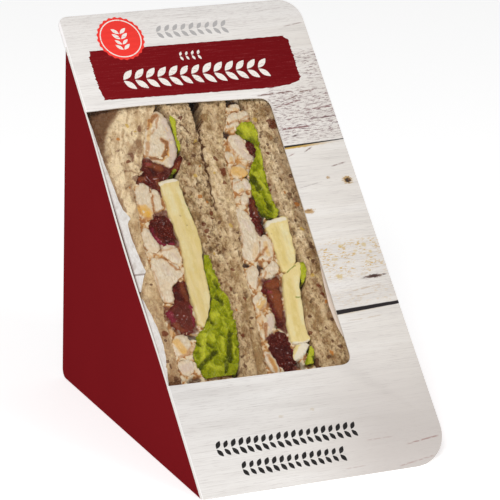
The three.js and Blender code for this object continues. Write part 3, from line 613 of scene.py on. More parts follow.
def plankFinish():
    f = Finish("plankPrint", 0.45, {"Specular IOR Level": 0.3})
    u, v, d = f.across, f.down, f.deep
    # broad tone, then finer and finer grain along the planks
    f.base = f.mix(u.step(10, 100), card["paleLeft"], card["paleRight"])
    f.lay(v.step(20, 2), card["header"])
    broad = f.noise((0.018, 0.22, 0), detail=3, seed=3)
    f.lay(broad.step(0.42, 0.75) * 0.35, (203, 197, 192))
    f.lay(broad.step(0.5, 0.28) * 0.4, (241, 238, 235))
    fine = f.noise((0.05, 3.2, 0), detail=4, roughness=0.65, seed=9)
    f.lay(fine.step(0.52, 0.72) * 0.5, (180, 171, 166))
    f.lay(fine.step(0.46, 0.25) * 0.35, (246, 244, 241))
    tick = f.noise((0.16, 6.0, 0), detail=2, seed=17)
    f.lay(tick.step(0.6, 0.7) * 0.5, (162, 150, 147))
    # dark dashes of open grain, thickest right of the window's top and right of the banner
    right = u.step(68, 72)
    zone = right * v.step(34, 40) * v.step(61, 55)
    zone = zone.atLeast(right * v.step(99, 104) * v.step(126, 120) * 0.14)
    zone = zone.atLeast(u.step(84, 88) * v.step(20, 24) * v.step(42, 30) * 0.8)
    zone = zone.atLeast(u.step(60, 75) * v.step(168, 174) * 0.3)
    zone = zone.atLeast(v.step(14, 8) * 0.12)
    climb = v * 0.4
    dash = f.noise((0.34, 2.3, 0), detail=3, roughness=0.62, seed=31, shift=climb)
    f.lay(dash.step(0.5, 0.58) * zone * 0.5, (176, 160, 158))
    f.lay(dash.step(0.57, 0.63) * zone * 0.9, card["grainDark"])
    hatch = f.noise((0.5, 2.9, 0), detail=2, roughness=0.6, seed=77, shift=climb).step(0.58, 0.63)
    f.lay(hatch * zone * 0.85, (122, 78, 80))
    f.lay(v.step(128, 180) * u.step(30, 76) * 0.9, (200, 192, 187))
    # worn through to ochre in loose rows
    worn = right * v.step(97, 101) * v.step(116, 109)
    worn = worn.atLeast(right * v.step(117, 119) * v.step(126, 122) * 0.35)
    fleck = f.noise((0.7, 2.2, 0), detail=3, roughness=0.6, seed=83, shift=v * 0.3).step(0.52, 0.58)
    row = f.noise((0.16, 0.5, 0), detail=2, seed=85).step(0.42, 0.54)
    f.lay(fleck * row * worn * 0.95, (204, 170, 104))
    ragged = (f.noise((0.9, 2.2, 0), detail=3, roughness=0.7, seed=91) - 0.5) * 2.4
    for across, down, wide, tall, strength, colour in blemishes:
        f.lay(f.blot(across, down, wide, tall, 0.6, ragged) * strength, colour)
    broken = f.noise((0.5, 2.0, 0), detail=2, seed=40).step(0.36, 0.52)
    for u0, v0, u1, v1, half, strength, colour in scratches:
        length = math.hypot(u1 - u0, v1 - v0)
        runU, runV = (u1 - u0) / length, (v1 - v0) / length
        along = (u - u0) * runU + (v - v0) * runV
        aside = ((v - v0) * runU - (u - u0) * runV).size()
        mark = aside.step(half * 1.8, half * 0.5) * along.step(-0.5, 1.5)
        mark = mark * along.step(length + 0.5, length - 1.5)
        f.lay(mark * broken * strength, colour)
    # the dark gaps between planks, with an ochre lower lip
    for key, lipStrength in (("seam1", 1.0), ("seam2", 0.3)):
        start, fall, half = card[key]
        line = (u - 70) * fall + start
        wander = f.noise((0.3, 0, 0), detail=3, seed=start) - 0.5
        off = v - line - wander * 0.35
        half = half - (u - 70) * 0.008
        right = u.step(66.5, 67.5)
        lip = off.step(0.1, 0.3) * (off + wander * 2).step(1.25, 0.8)
        f.lay(lip * right * lipStrength * u.step(94, 74), (196, 158, 78))
        f.lay((half * 1.1 - off.size()).step(-0.12, 0.08) * right, card["nearBlack"])
    # raw board on the cut edges and behind, and a bare strip along the fold
    f.lay(u.step(1.0, 0.75), card["edgeStrip"])
    pulp = f.noise((6, 6, 6), detail=2, seed=50)
    raw = f.mix(pulp, card["board"], (224, 219, 212))
    f.lay(d.step(0.1, 0.14), raw)
    f.colour()
    f.bump(f.noise((1.2, 1.2, 0.5), detail=3, seed=61) + f.noise((0.2, 5, 0), seed=62) * 0.5, 0.03)
    return f.material


def redFinish():
    f = Finish("redPrint", 0.5, {"Specular IOR Level": 0})
    tone = f.noise((0.03, 0.03, 0.03), detail=2, seed=5)
    f.base = f.mix(tone, card["red"], (119, 24, 29))
    pulp = f.noise((2.4, 2.4, 2.4), detail=4, roughness=0.7, seed=8)
    f.lay(pulp.step(0.5, 0.8) * 0.16, (146, 50, 54))
    scuff = f.noise((0.6, 0.6, 0.6), detail=4, roughness=0.7, seed=12).step(0.6, 0.72)
    worn = f.attribute("worn")
    f.lay(worn * (scuff * 0.5 + 0.25), (196, 150, 146))
    raw = f.mix(pulp, card["board"], (224, 219, 212))
    f.lay(f.attribute("raw").step(0.45, 0.55), raw)
    f.colour()
    f.rough(pulp * 0.12 + 0.44)
    f.bump(pulp + f.noise((0.5, 0.5, 0.5), detail=2, seed=70) * 0.8, 0.04)
    return f.material


window = {
    "top": 38.6, "bottom": 144.5, "right": 70.3, "drop": 1.0, "lean": 1.1, "radius": 4.5,
    "crown": (  # across and down along its top edge
        (6, 38.45), (12, 38.2), (20, 38.1), (28, 38.15), (36, 38.4), (46, 38.8), (56, 39.2), (62, 39.4),
    ),
}
corner = {"topLeft": 4, "topRight": 8.5, "bottomRight": 14}


def windowHole(left):
    w = window
    right, top, bottom, r = w["right"], w["top"] + w["drop"], w["bottom"] + w["drop"], w["radius"]
    edge = [(left, w["top"])] + [(u, v) for u, v in w["crown"] if u > left + 1]
    edge += bezier((right - r, top), (right, top), (right, top + r), 10)
    low = right - w["lean"]
    edge += bezier((low, bottom - r), (low, bottom), (low - r, bottom), 10)
    edge.append((left, w["bottom"]))
    fine = []
    for (u0, v0), (u1, v1) in zip(edge[:-1], edge[1:]):
        count = max(1, round(math.hypot(u1 - u0, v1 - v0) / 3))
        fine += [(u0 + (u1 - u0) * k / count, v0 + (v1 - v0) * k / count) for k in range(count)]
    return fine + [edge[-1]]


def overGround(points):
    # the front's lower end is cut level with the ground it stands on
    points[:, 1] = np.minimum(points[:, 1], slopeLength - np.maximum(points[:, 2], 0))
    return points


def addFront(plank):
    width, left = pack["panelWidth"], pack["foldRadius"] - 0.1
    right = roundedBox(40, 0, width, slopeLength, [0, corner["topRight"], corner["bottomRight"], 0], 16)[1:-1]
    topLeft = arcPoints((corner["topLeft"], corner["topLeft"]), corner["topLeft"], 180, 270, 10)
    topLeft = [(max(u, 0), v) for u, v in topLeft]
    top, low, cut = window["top"], window["bottom"], pack["headerCut"]
    # across the header, down the right margin, along the foot, and round the window's three sides
    outline = [(0, pack["header"])] + topLeft + right
    outline += [(left, slopeLength), (left, low)]
    outline += list(reversed(windowHole(left + 0.02)[1:-1])) + [(left, top), (left, cut), (0, cut)]
    points, faces = cardSheet(outline, 0, pack["board"])
    addPiece("frontPanel", overGround(points), faces, plank, ("carton",), sharp=50)


def wallReach(down):
    # how far back the side wall goes at each place down the front, with its rounded heel
    point, toe = pack["header"], slopeLength
    reach = np.minimum(down - point, toe - down)
    middle, radius = (point + toe) / 2, pack["backRadius"]
    heel = (toe - point) / 2 - radius * math.sqrt(2)
    aside = np.abs(down - middle)
    rounded = heel + np.sqrt(np.maximum(radius**2 - aside**2, 0))
    return np.where(aside < radius * halfRoot, np.minimum(reach, rounded), reach)


# where a side wall has its rows of points, down the front
wallRows = {
    "even": (12.3, 186, 2.2),
    "tips": (12.6, 13, 13.6, 185.9, 185.4, 184.8, 184),
    "window": (38.3, 38.4, 38.5, 144.4, 144.5, 144.6),
    "heel": (96.9, 97.4, 98, 98.6, 99.17, 99.8, 100.4, 101, 101.4),
}


def addWall(name, red, mirrored):
    fold, board = pack["foldRadius"], pack["board"]
    close = [wallRows[key] for key in ("tips", "window", "heel")]
    rings, raw, worn = [], [], []
    near = np.array([0, 0.04, 0.12, 0.22, 0.36, 0.5, 0.7, 1.1, 1.8])
    for down in np.unique(np.concatenate([np.arange(*wallRows["even"]), *close])):
        reach = float(wallReach(np.array([down]))[0])
        scale = min(1, reach / 5)
        deep = np.concatenate([near * scale, np.linspace(2.6 * scale, reach - 2.6 * scale, 22)])
        deep = np.concatenate([deep, reach - (near * math.sqrt(2) * scale)[::-1]])
        inWindow = window["top"] <= down <= window["bottom"] and not mirrored
        share = (down - window["top"]) / (window["bottom"] - window["top"])
        bow = pack["bulge"] * math.sin(math.pi * share) ** 2 if 0 < share < 1 else 0
        bow = bow * np.exp(-((deep / 24) ** 2)) * (not mirrored)
        fromRim = np.clip((reach - deep) * halfRoot, 0, fold)
        turn = fold - np.sqrt(fold**2 - (fold - fromRim) ** 2)
        if not inWindow and not mirrored:
            front = np.clip(deep, 0, fold)
            turn = np.maximum(turn, fold - np.sqrt(fold**2 - (fold - front) ** 2))
        turn = np.minimum(turn, board - 0.02)
        outer = turn - bow
        inner = board - bow
        if mirrored:
            outer, inner = pack["width"] - outer, pack["width"] - inner
        low = np.full(len(deep), down)
        ring = np.vstack([np.column_stack([outer, low, deep]), np.column_stack([inner, low, deep])[::-1]])
        rings.append(ring)
        bare = np.concatenate([np.zeros(len(deep)), np.ones(len(deep))])
        if inWindow:
            bare[0] = 1
        elif not mirrored:
            bare[: len(deep)] = smoothStep(-deep, -0.42, -0.3)
        raw.append(bare)
        rim = np.minimum(fromRim, np.clip(deep, 0, fold) if not mirrored else fold)
        worn.append(np.concatenate([smoothStep(-rim, -0.45, -0.05), np.zeros(len(deep))]))
    points, faces = skinOf(rings)
    if mirrored:
        points[:, 2] = np.maximum(points[:, 2], board)
    marks = {"raw": np.concatenate(raw), "worn": np.concatenate(worn)}
    addPiece(name, overGround(points), faces, red, ("carton",), sharp=40, marks=marks)


def addWrap(red):
    # the base and the back in one, round the heel
    leg, board, radius = pack["leg"], pack["board"], pack["backRadius"]
    fold = pack["foldRadius"]
    outer = [(0.25, 0.0)] + [(y, 0.0) for y in np.linspace(3, leg - radius, 18)]
    outer += arcPoints((leg - radius, radius), radius, -90, 0, 10)[1:]
    outer += [(leg, z) for z in np.linspace(radius + 6, leg + 0.0, 18)]
    inner = []
    for y, z in outer:
        cy, cz = min(y, leg - radius), max(z, radius)
        run = math.hypot(y - cy, z - cz)
        inner.append((y + board * (cy - y) / run, z + board * (cz - z) / run))
    # both ends are cut level with the front and stop inside its board
    inBoard = 0.5
    ring = []
    for y, z in outer + inner[::-1]:
        if y - z < inBoard:
            y, z = (z + inBoard, z) if z < 1 else (y, y - inBoard)
        ring.append((y, z))
    y, z = np.array(ring).T
    width, lap = pack["width"], fold - 0.12
    rings = []
    for across in (lap, fold + 2, *np.linspace(6, width - 6, 9), width - fold - 2, width - fold + 0.12):
        rings.append(np.column_stack([0 * y + across, slopeLength - (y + z) * halfRoot, (y - z) * halfRoot]))
    points, faces = skinOf(rings)
    half = len(outer)
    bare = np.tile(np.concatenate([np.zeros(half), np.ones(half)]), len(rings))
    marks = {"raw": bare, "worn": np.zeros(len(points))}
    addPiece("baseAndBack", points, faces, red, ("carton",), sharp=40, marks=marks)


def addFlaps(red):
    board, width = pack["board"], pack["width"]
    top, right, foot = pack["header"], pack["panelWidth"] - 0.8, corner["bottomRight"] - 2
    header = roundedBox(0.8, 0.8, width, top + 1.2, [4, 4, 0, 0])
    margin = roundedBox(width - board, top + 4, right, slopeLength - 6, [0, 3, foot, 0])
    for name, outline in {"headerFlap": header, "marginFlap": margin}.items():
        points, faces = cardSheet(outline, board, 2 * board)
        marks = {"raw": (points[:, 2] < 2 * board - 0.06) * 1.0, "worn": np.zeros(len(points))}
        addPiece(name, points, faces, red, ("carton",), sharp=50, marks=marks)


plank, red = plankFinish(), redFinish()
addFront(plank)
addWall("leftWall", red, False)
addWall("rightWall", red, True)
addWrap(red)
addFlaps(red)
print("card folded and printed")


# Printed ornament on the front: a brushed dark red band, a plain round seal, and five borders of wheat
# grains. The inks are plates a few hundredths of a millimetre thick.
ink = {
    "band": (119, 12, 19),
    "bandRight": (111, 9, 16),
    "cream": (240, 234, 226),
    "grey": (176, 173, 172),
    "black": (40, 38, 38),
    "seal": (240, 62, 54),
    "bandAcross": (8.4, 84.4, 0.45),  # first, last and step of its points along the top and foot
    "bandDown": (15.6, 34.2, 0.32),  # and along its ends
    "sealPlace": (21.5, 10.7),
    "sealRadius": 8.7,
    "sealWave": 0.22,
    "ringRadii": (7.35, 7.75),
    "lift": 0.03,
}
# across and down of the first grain, turn in degrees, count, pitch, grain length and width, lean, and ink
borders = {
    "greyBorder": (35.6, 9.4, 0, 9, 3.15, 3.3, 1.5, 48, "grey", 0.0),
    "smallBorder": (41.6, 19.9, 0, 4, 2.3, 1.9, 0.95, 62, "cream", 0.03),
    "wideBorder": (17.6, 27.6, 0, 13, 4.35, 5.4, 2.3, 42, "cream", 0.03),
    "upperBorder": (10.6, 169.3, 0, 19, 2.78, 3.2, 1.6, 55, "black", 0.0),
    "lowerBorder": (17.6, 177.5, 0, 14, 2.78, 3.0, 1.55, 55, "black", 0.0),
    "sealSprig": (21.5, 15.4, 90, 4, 2.15, 3.3, 1.35, 50, "cream", 0.06),
}


def makeTree(name, inputs):
    tree = bpy.data.node_groups.new(name, "GeometryNodeTree")
    for label, (kind, value) in inputs.items():
        socket = tree.interface.new_socket(label, in_out="INPUT", socket_type=kind)
        if value is not None:
            socket.default_value = value
    tree.interface.new_socket("Geometry", in_out="OUTPUT", socket_type="NodeSocketGeometry")
    return tree


def growNode(tree, kind, settings, inputs):
    made = tree.nodes.new(kind)
    for name, value in settings.items():
        setattr(made, name, value)
    for key, value in inputs.items():
        for source in value if isinstance(value, list) else [value]:
            if isinstance(source, bpy.types.NodeSocket):
                tree.links.new(source, made.inputs[key])
            else:
                made.inputs[key].default_value = source
    return made.outputs


def grown(piece, tree, values):
    # the plain mesh that a node tree makes on a piece
    modifier = piece.modifiers.new("nodes", "NODES")
    modifier.node_group = tree
    for item in tree.interface.items_tree:
        if item.in_out == "INPUT" and item.name in values:
            modifier[item.identifier] = values[item.name]
    evaluated = piece.evaluated_get(bpy.context.evaluated_depsgraph_get())
    mesh = bpy.data.meshes.new_from_object(evaluated)
    piece.modifiers.remove(modifier)
    return mesh


def borderTree():
    # pairs of grains that lean away from a row of points on their stem
    real, whole = "NodeSocketFloat", "NodeSocketInt"
    tree = makeTree("grainBorder", {
        "Count": (whole, 9), "Pitch": (real, 3.0), "Length": (real, 3.0), "Width": (real, 1.2),
        "Lean": (real, 0.8), "Thickness": (real, 0.05), "Seed": (whole, 1),
        "Ink": ("NodeSocketMaterial", None),
    })
    given = tree.nodes.new("NodeGroupInput").outputs

    def maths(operation, *inputs):
        return growNode(tree, "ShaderNodeMath", {"operation": operation}, dict(enumerate(inputs)))[0]

    run = growNode(tree, "ShaderNodeCombineXYZ", {}, {0: given["Pitch"]})[0]
    steps = {"Count": given["Count"], "Offset": run}
    row = growNode(tree, "GeometryNodeMeshLine", {"mode": "OFFSET"}, steps)[0]
    disc = growNode(tree, "GeometryNodeMeshCircle", {"fill_type": "NGON"}, {"Vertices": 18, "Radius": 0.5})[0]
    # a disc drawn out to a grain, pointed at both ends
    spot = growNode(tree, "GeometryNodeInputPosition", {}, {})[0]
    parts = growNode(tree, "ShaderNodeSeparateXYZ", {}, {0: spot})
    square = maths("MULTIPLY", parts[0], parts[0])
    slim = maths("MULTIPLY_ADD", square, -2.6, 1.0)
    tall = maths("MULTIPLY", parts[1], slim)
    tall = maths("MULTIPLY", tall, given["Width"])
    long = maths("ADD", parts[0], 0.56)
    long = maths("MULTIPLY", long, given["Length"])
    drawn = growNode(tree, "ShaderNodeCombineXYZ", {}, {0: long, 1: tall})[0]
    flat = growNode(tree, "GeometryNodeSetPosition", {}, {"Geometry": disc, "Position": drawn})[0]
    raised = growNode(tree, "GeometryNodeExtrudeMesh", {"mode": "FACES"},
                      {"Mesh": flat, "Offset Scale": given["Thickness"]})[0]
    under = growNode(tree, "GeometryNodeFlipFaces", {}, {0: flat})[0]
    grain = growNode(tree, "GeometryNodeJoinGeometry", {}, {0: [raised, under]})[0]
    grain = growNode(tree, "GeometryNodeMergeByDistance", {}, {"Geometry": grain, "Distance": 0.002})[0]
    sides = []
    for sign in (1, -1):
        lean = maths("MULTIPLY", given["Lean"], sign)
        turn = growNode(tree, "ShaderNodeCombineXYZ", {}, {2: lean})[0]
        size = growNode(tree, "FunctionNodeRandomValue", {"data_type": "FLOAT"},
                        {2: 0.9, 3: 1.08, "Seed": given["Seed"]})[1]
        sides.append(growNode(tree, "GeometryNodeInstanceOnPoints", {},
                              {"Points": row, "Instance": grain, "Rotation": turn, "Scale": size})[0])
    both = growNode(tree, "GeometryNodeJoinGeometry", {}, {0: sides})[0]
    real = growNode(tree, "GeometryNodeRealizeInstances", {}, {0: both})[0]
    inked = growNode(tree, "GeometryNodeSetMaterial", {}, {"Geometry": real, "Material": given["Ink"]})[0]
    tree.links.new(inked, tree.nodes.new("NodeGroupOutput").inputs[0])
    return tree


def inkFinish(name, colour, second=None, gaps=0.25, under=None, gloss=0.5):
    f = Finish(name, gloss, {"Specular IOR Level": 0.08})
    brushed = f.noise((0.1, 1.9, 0), detail=4, roughness=0.65, seed=len(name))
    dots = f.noise((2.6, 2.6, 0), detail=4, roughness=0.7, seed=4)
    f.base = f.mix(f.across.step(8, 85), colour, second or colour)
    f.lay(brushed.step(0.55, 0.75) * 0.16, [min(255, c + 40) for c in colour])
    if under:
        wear = (brushed * 0.6 + dots * 0.6).step(0.66, 0.72)
        f.lay(wear * gaps, under)
    f.colour()
    f.bump(dots, 0.02)
    return f.material


def addBand():
    spots = np.arange(*ink["bandAcross"])
    line = drift(spots, 0 * spots)
    top = 14.75 + (spots - 8) / 76 * 0.5 + 0.16 * layered(noiseA, line / (2.2, 1, 1) + 3, 3)
    fall = np.interp(spots, [8, 40, 73, 80, 84.4], [34.7, 35.4, 36.0, 35.3, 34.0])
    bottom = fall + 0.22 * layered(noiseB, line / (2.4, 1, 1) + 9, 3)
    ends = np.arange(*ink["bandDown"])
    line = drift(ends, 0 * ends)
    bristle = layered(noiseC, line / (0.75, 1, 1), 2)
    rightEnd = np.interp(ends, [15.6, 17, 33, 34.2], [83.6, 85.2, 85.1, 84.2]) + 0.75 * bristle
    leftEnd = np.interp(ends, [15.6, 18, 30, 34.2], [8.4, 7.6, 7.9, 8.8]) - 0.6 * bristle[::-1]
    outline = list(zip(spots, top)) + list(zip(rightEnd, ends)) + list(zip(spots[::-1], bottom[::-1]))
    outline += list(zip(leftEnd[::-1], ends[::-1]))
    points, faces = cardSheet(outline, -ink["lift"], 0.02, 0.006)
    finish = inkFinish("bandInk", ink["band"], ink["bandRight"], 0.5, (150, 62, 64), 0.5)
    addPiece("redBand", points, faces, finish, sharp=50)


def addSeal():
    angles = np.linspace(0, 2 * math.pi, 192, endpoint=False)
    across, down = ink["sealPlace"]
    radius = ink["sealRadius"] + ink["sealWave"] * np.cos(24 * angles)
    outline = list(zip(across + radius * np.cos(angles), down + radius * np.sin(angles)))
    points, faces = cardSheet(outline, -2 * ink["lift"], 0.02, 0.006)
    addPiece("roundSeal", points, faces, inkFinish("sealInk", ink["seal"], gloss=0.45), sharp=50)
    inner, outer = ink["ringRadii"]
    rings = []
    for reach, deep in ((outer, 0.0), (outer, -2.6), (inner, -2.6), (inner, 0.0)):
        circle = (across + reach * np.cos(angles), down + reach * np.sin(angles))
        rings.append(np.column_stack([*circle, np.full(len(angles), deep * ink["lift"])]))
    faces = ringFaces(len(rings), len(angles), closed=True)
    addPiece("sealRing", np.vstack(rings), faces, inkMaterials["cream"], sharp=50)


def addBorder(name, tree, across, down, turn, count, pitch, length, width, lean, colour, lift):
    seedPiece = bpy.data.objects.new("work", bpy.data.meshes.new("work"))
    bpy.context.scene.collection.objects.link(seedPiece)
    values = {"Count": count, "Pitch": pitch, "Length": length, "Width": width, "Lean": math.radians(lean),
              "Thickness": 0.05, "Seed": len(name), "Ink": inkMaterials[colour]}
    mesh = grown(seedPiece, tree, values)
    bpy.data.objects.remove(seedPiece)
    x, y, z = vectorsOf(mesh.vertices, "co").T
    angle = math.radians(turn)
    u = across + x * math.cos(angle) - y * math.sin(angle)
    v = down - x * math.sin(angle) - y * math.cos(angle)
    faces = [tuple(face.vertices) for face in mesh.polygons]
    points = np.column_stack([u, v, 0.02 - ink["lift"] * (z > 0.02) - lift - 0.02 * (z > 0.02)])
    addPiece(name, points, faces, inkMaterials[colour], sharp=50)


inkMaterials = {
    "cream": inkFinish("creamInk", ink["cream"], None, 0.75, (160, 70, 70)),
    "grey": inkFinish("greyInk", ink["grey"], None, 0.3, (214, 210, 206)),
    "black": inkFinish("blackInk", ink["black"], None, 0.25, (120, 116, 114)),
}
addBand()
addSeal()
grainBorder = borderTree()
for name, values in borders.items():
    addBorder(name, grainBorder, *values)
print("ornament printed")


# Bread: four slices, their cut faces full of open crumb. Marks are across, down and half size.
bread = {
    "crumbLight": (244, 220, 180),
    "crumb": (213, 184, 142),
    "crumbDark": (155, 122, 80),
    # painted shade in the pores
    "shadedPore": (104, 72, 42),
    "crust": (114, 77, 50),
    "seedRed": (112, 54, 30),
    "seedDark": (100, 64, 42),
    "seedYellow": (206, 168, 84),
    "seedOrange": (190, 120, 52),
    "rows": ((32.6, 36, 0.8), (36.2, 148, 0.25), (148.5, 174.6, 2)),  # first, last and step down the front
    "columns": 58,
    "settle": 4.0,  # rows over which the outline is evened
    "nearest": 1.5,
    "relief": 0.95,
    "markSize": 1.35,
    "lean": 14,
    "toneDown": (45, 75, 120),  # where each slice's three tones lie down the front
    "tones": ((0.66, 0.78, 0.42), (0.5, 0.12, 0.26), (0.2, 0.48, 0.08), (0.48, 0.52, 0.2)),
    "openings": (0.2, 1.0, 0.5, 0.9),
    "crustAcross": (14.5, 13.0, 11.0, 8.0, 6.0, 4.8, 3.9, 2.6, 1.6),  # its edge on the leftmost slice
    "crustDown": (36.0, 38.5, 41.0, 44.5, 47.5, 51.0, 56.0, 61.0, 66.0),
}
breadMarks = {
    "red": [
        (31.9, 85.5, 0.6), (32.1, 88.5, 0.7), (32.3, 90.6, 0.6), (36.0, 81.6, 0.5), (35.9, 83.4, 0.6),
        (35.3, 43.3, 0.65), (43.7, 61, 0.6), (45.2, 65.3, 0.75), (45.2, 66.9, 0.7), (68.5, 48.5, 0.8),
        (69.2, 50.3, 0.9), (70, 49.2, 0.7), (58.5, 131, 0.6), (61, 73, 0.5), (61.1, 75.2, 0.5),
        (5.8, 124.6, 0.75), (36.4, 101, 0.5), (33.4, 128.5, 0.5), (42.3, 47, 0.6), (11.5, 58.5, 0.5),
        (67, 114, 0.6), (67.6, 117.5, 0.7), (29.6, 46.5, 0.4), (64.2, 60.5, 0.5), (66.6, 88.0, 0.6),
        (34.6, 111, 0.5), (38.3, 115.5, 0.5), (33.5, 62, 0.5), (44.6, 70.3, 0.5), (37.2, 104, 0.45),
    ],
    "dark": [
        (10.2, 74.8, 0.5), (6.3, 105.7, 0.5), (5.5, 127, 0.5), (3.8, 135, 0.6), (4.4, 136.6, 0.5),
        (28.5, 72.5, 0.5), (34.3, 94, 0.5), (32.5, 102, 0.5), (35, 54, 0.5), (36, 58.5, 0.6),
        (40.3, 49, 0.55), (40.4, 53, 0.6), (40.7, 55.5, 0.6), (39.3, 59, 0.55), (39.2, 61, 0.5),
        (40.2, 63, 0.5), (39.2, 65, 0.5), (38.7, 69, 0.5), (38, 85.5, 0.5), (43.5, 90.5, 0.55),
        (43.3, 92.5, 0.45), (37, 96, 0.45), (37.5, 126.5, 0.5), (38.7, 123, 0.5), (63.7, 53.8, 0.5),
        (65.8, 71.5, 0.6), (69.7, 71, 0.6), (69.2, 97.5, 0.6), (69.4, 98.9, 0.6), (66.8, 103, 0.5),
        (68, 104.5, 0.5), (68, 127, 0.6), (60.5, 125, 0.5), (64.9, 130, 0.5), (67.8, 137.8, 0.75),
        (62.5, 141, 0.5), (65.5, 135.5, 0.5), (31, 136.5, 0.5), (31, 140, 0.5), (31.5, 108.5, 0.5),
        (67.5, 77.5, 0.5), (5, 141.6, 0.6), (7.6, 142.3, 0.6), (10.4, 142.4, 0.5), (65.2, 57.5, 0.5),
        (36.8, 91, 0.45), (33.0, 79, 0.4), (66.5, 64, 0.4),
    ],
    "yellow": [
        (17.5, 47, 0.5), (38.5, 53.2, 0.55), (42, 66, 0.5), (63.6, 47, 0.6), (67.7, 91.8, 0.6),
        (41.6, 87.4, 0.7), (34.4, 66.5, 0.45), (66.1, 109.5, 0.6), (15, 44.2, 0.5), (32.4, 97.4, 0.4),
    ],
    "orange": [
        (10.5, 49.3, 0.5), (33.7, 75, 0.55), (35.8, 77.3, 0.5), (65.7, 77, 0.5), (68.7, 82, 0.6),
        (64, 139.5, 0.6), (37.4, 62.8, 0.4), (67.7, 120.4, 0.5), (9, 68.4, 0.4), (34.1, 119.3, 0.4),
    ],
}
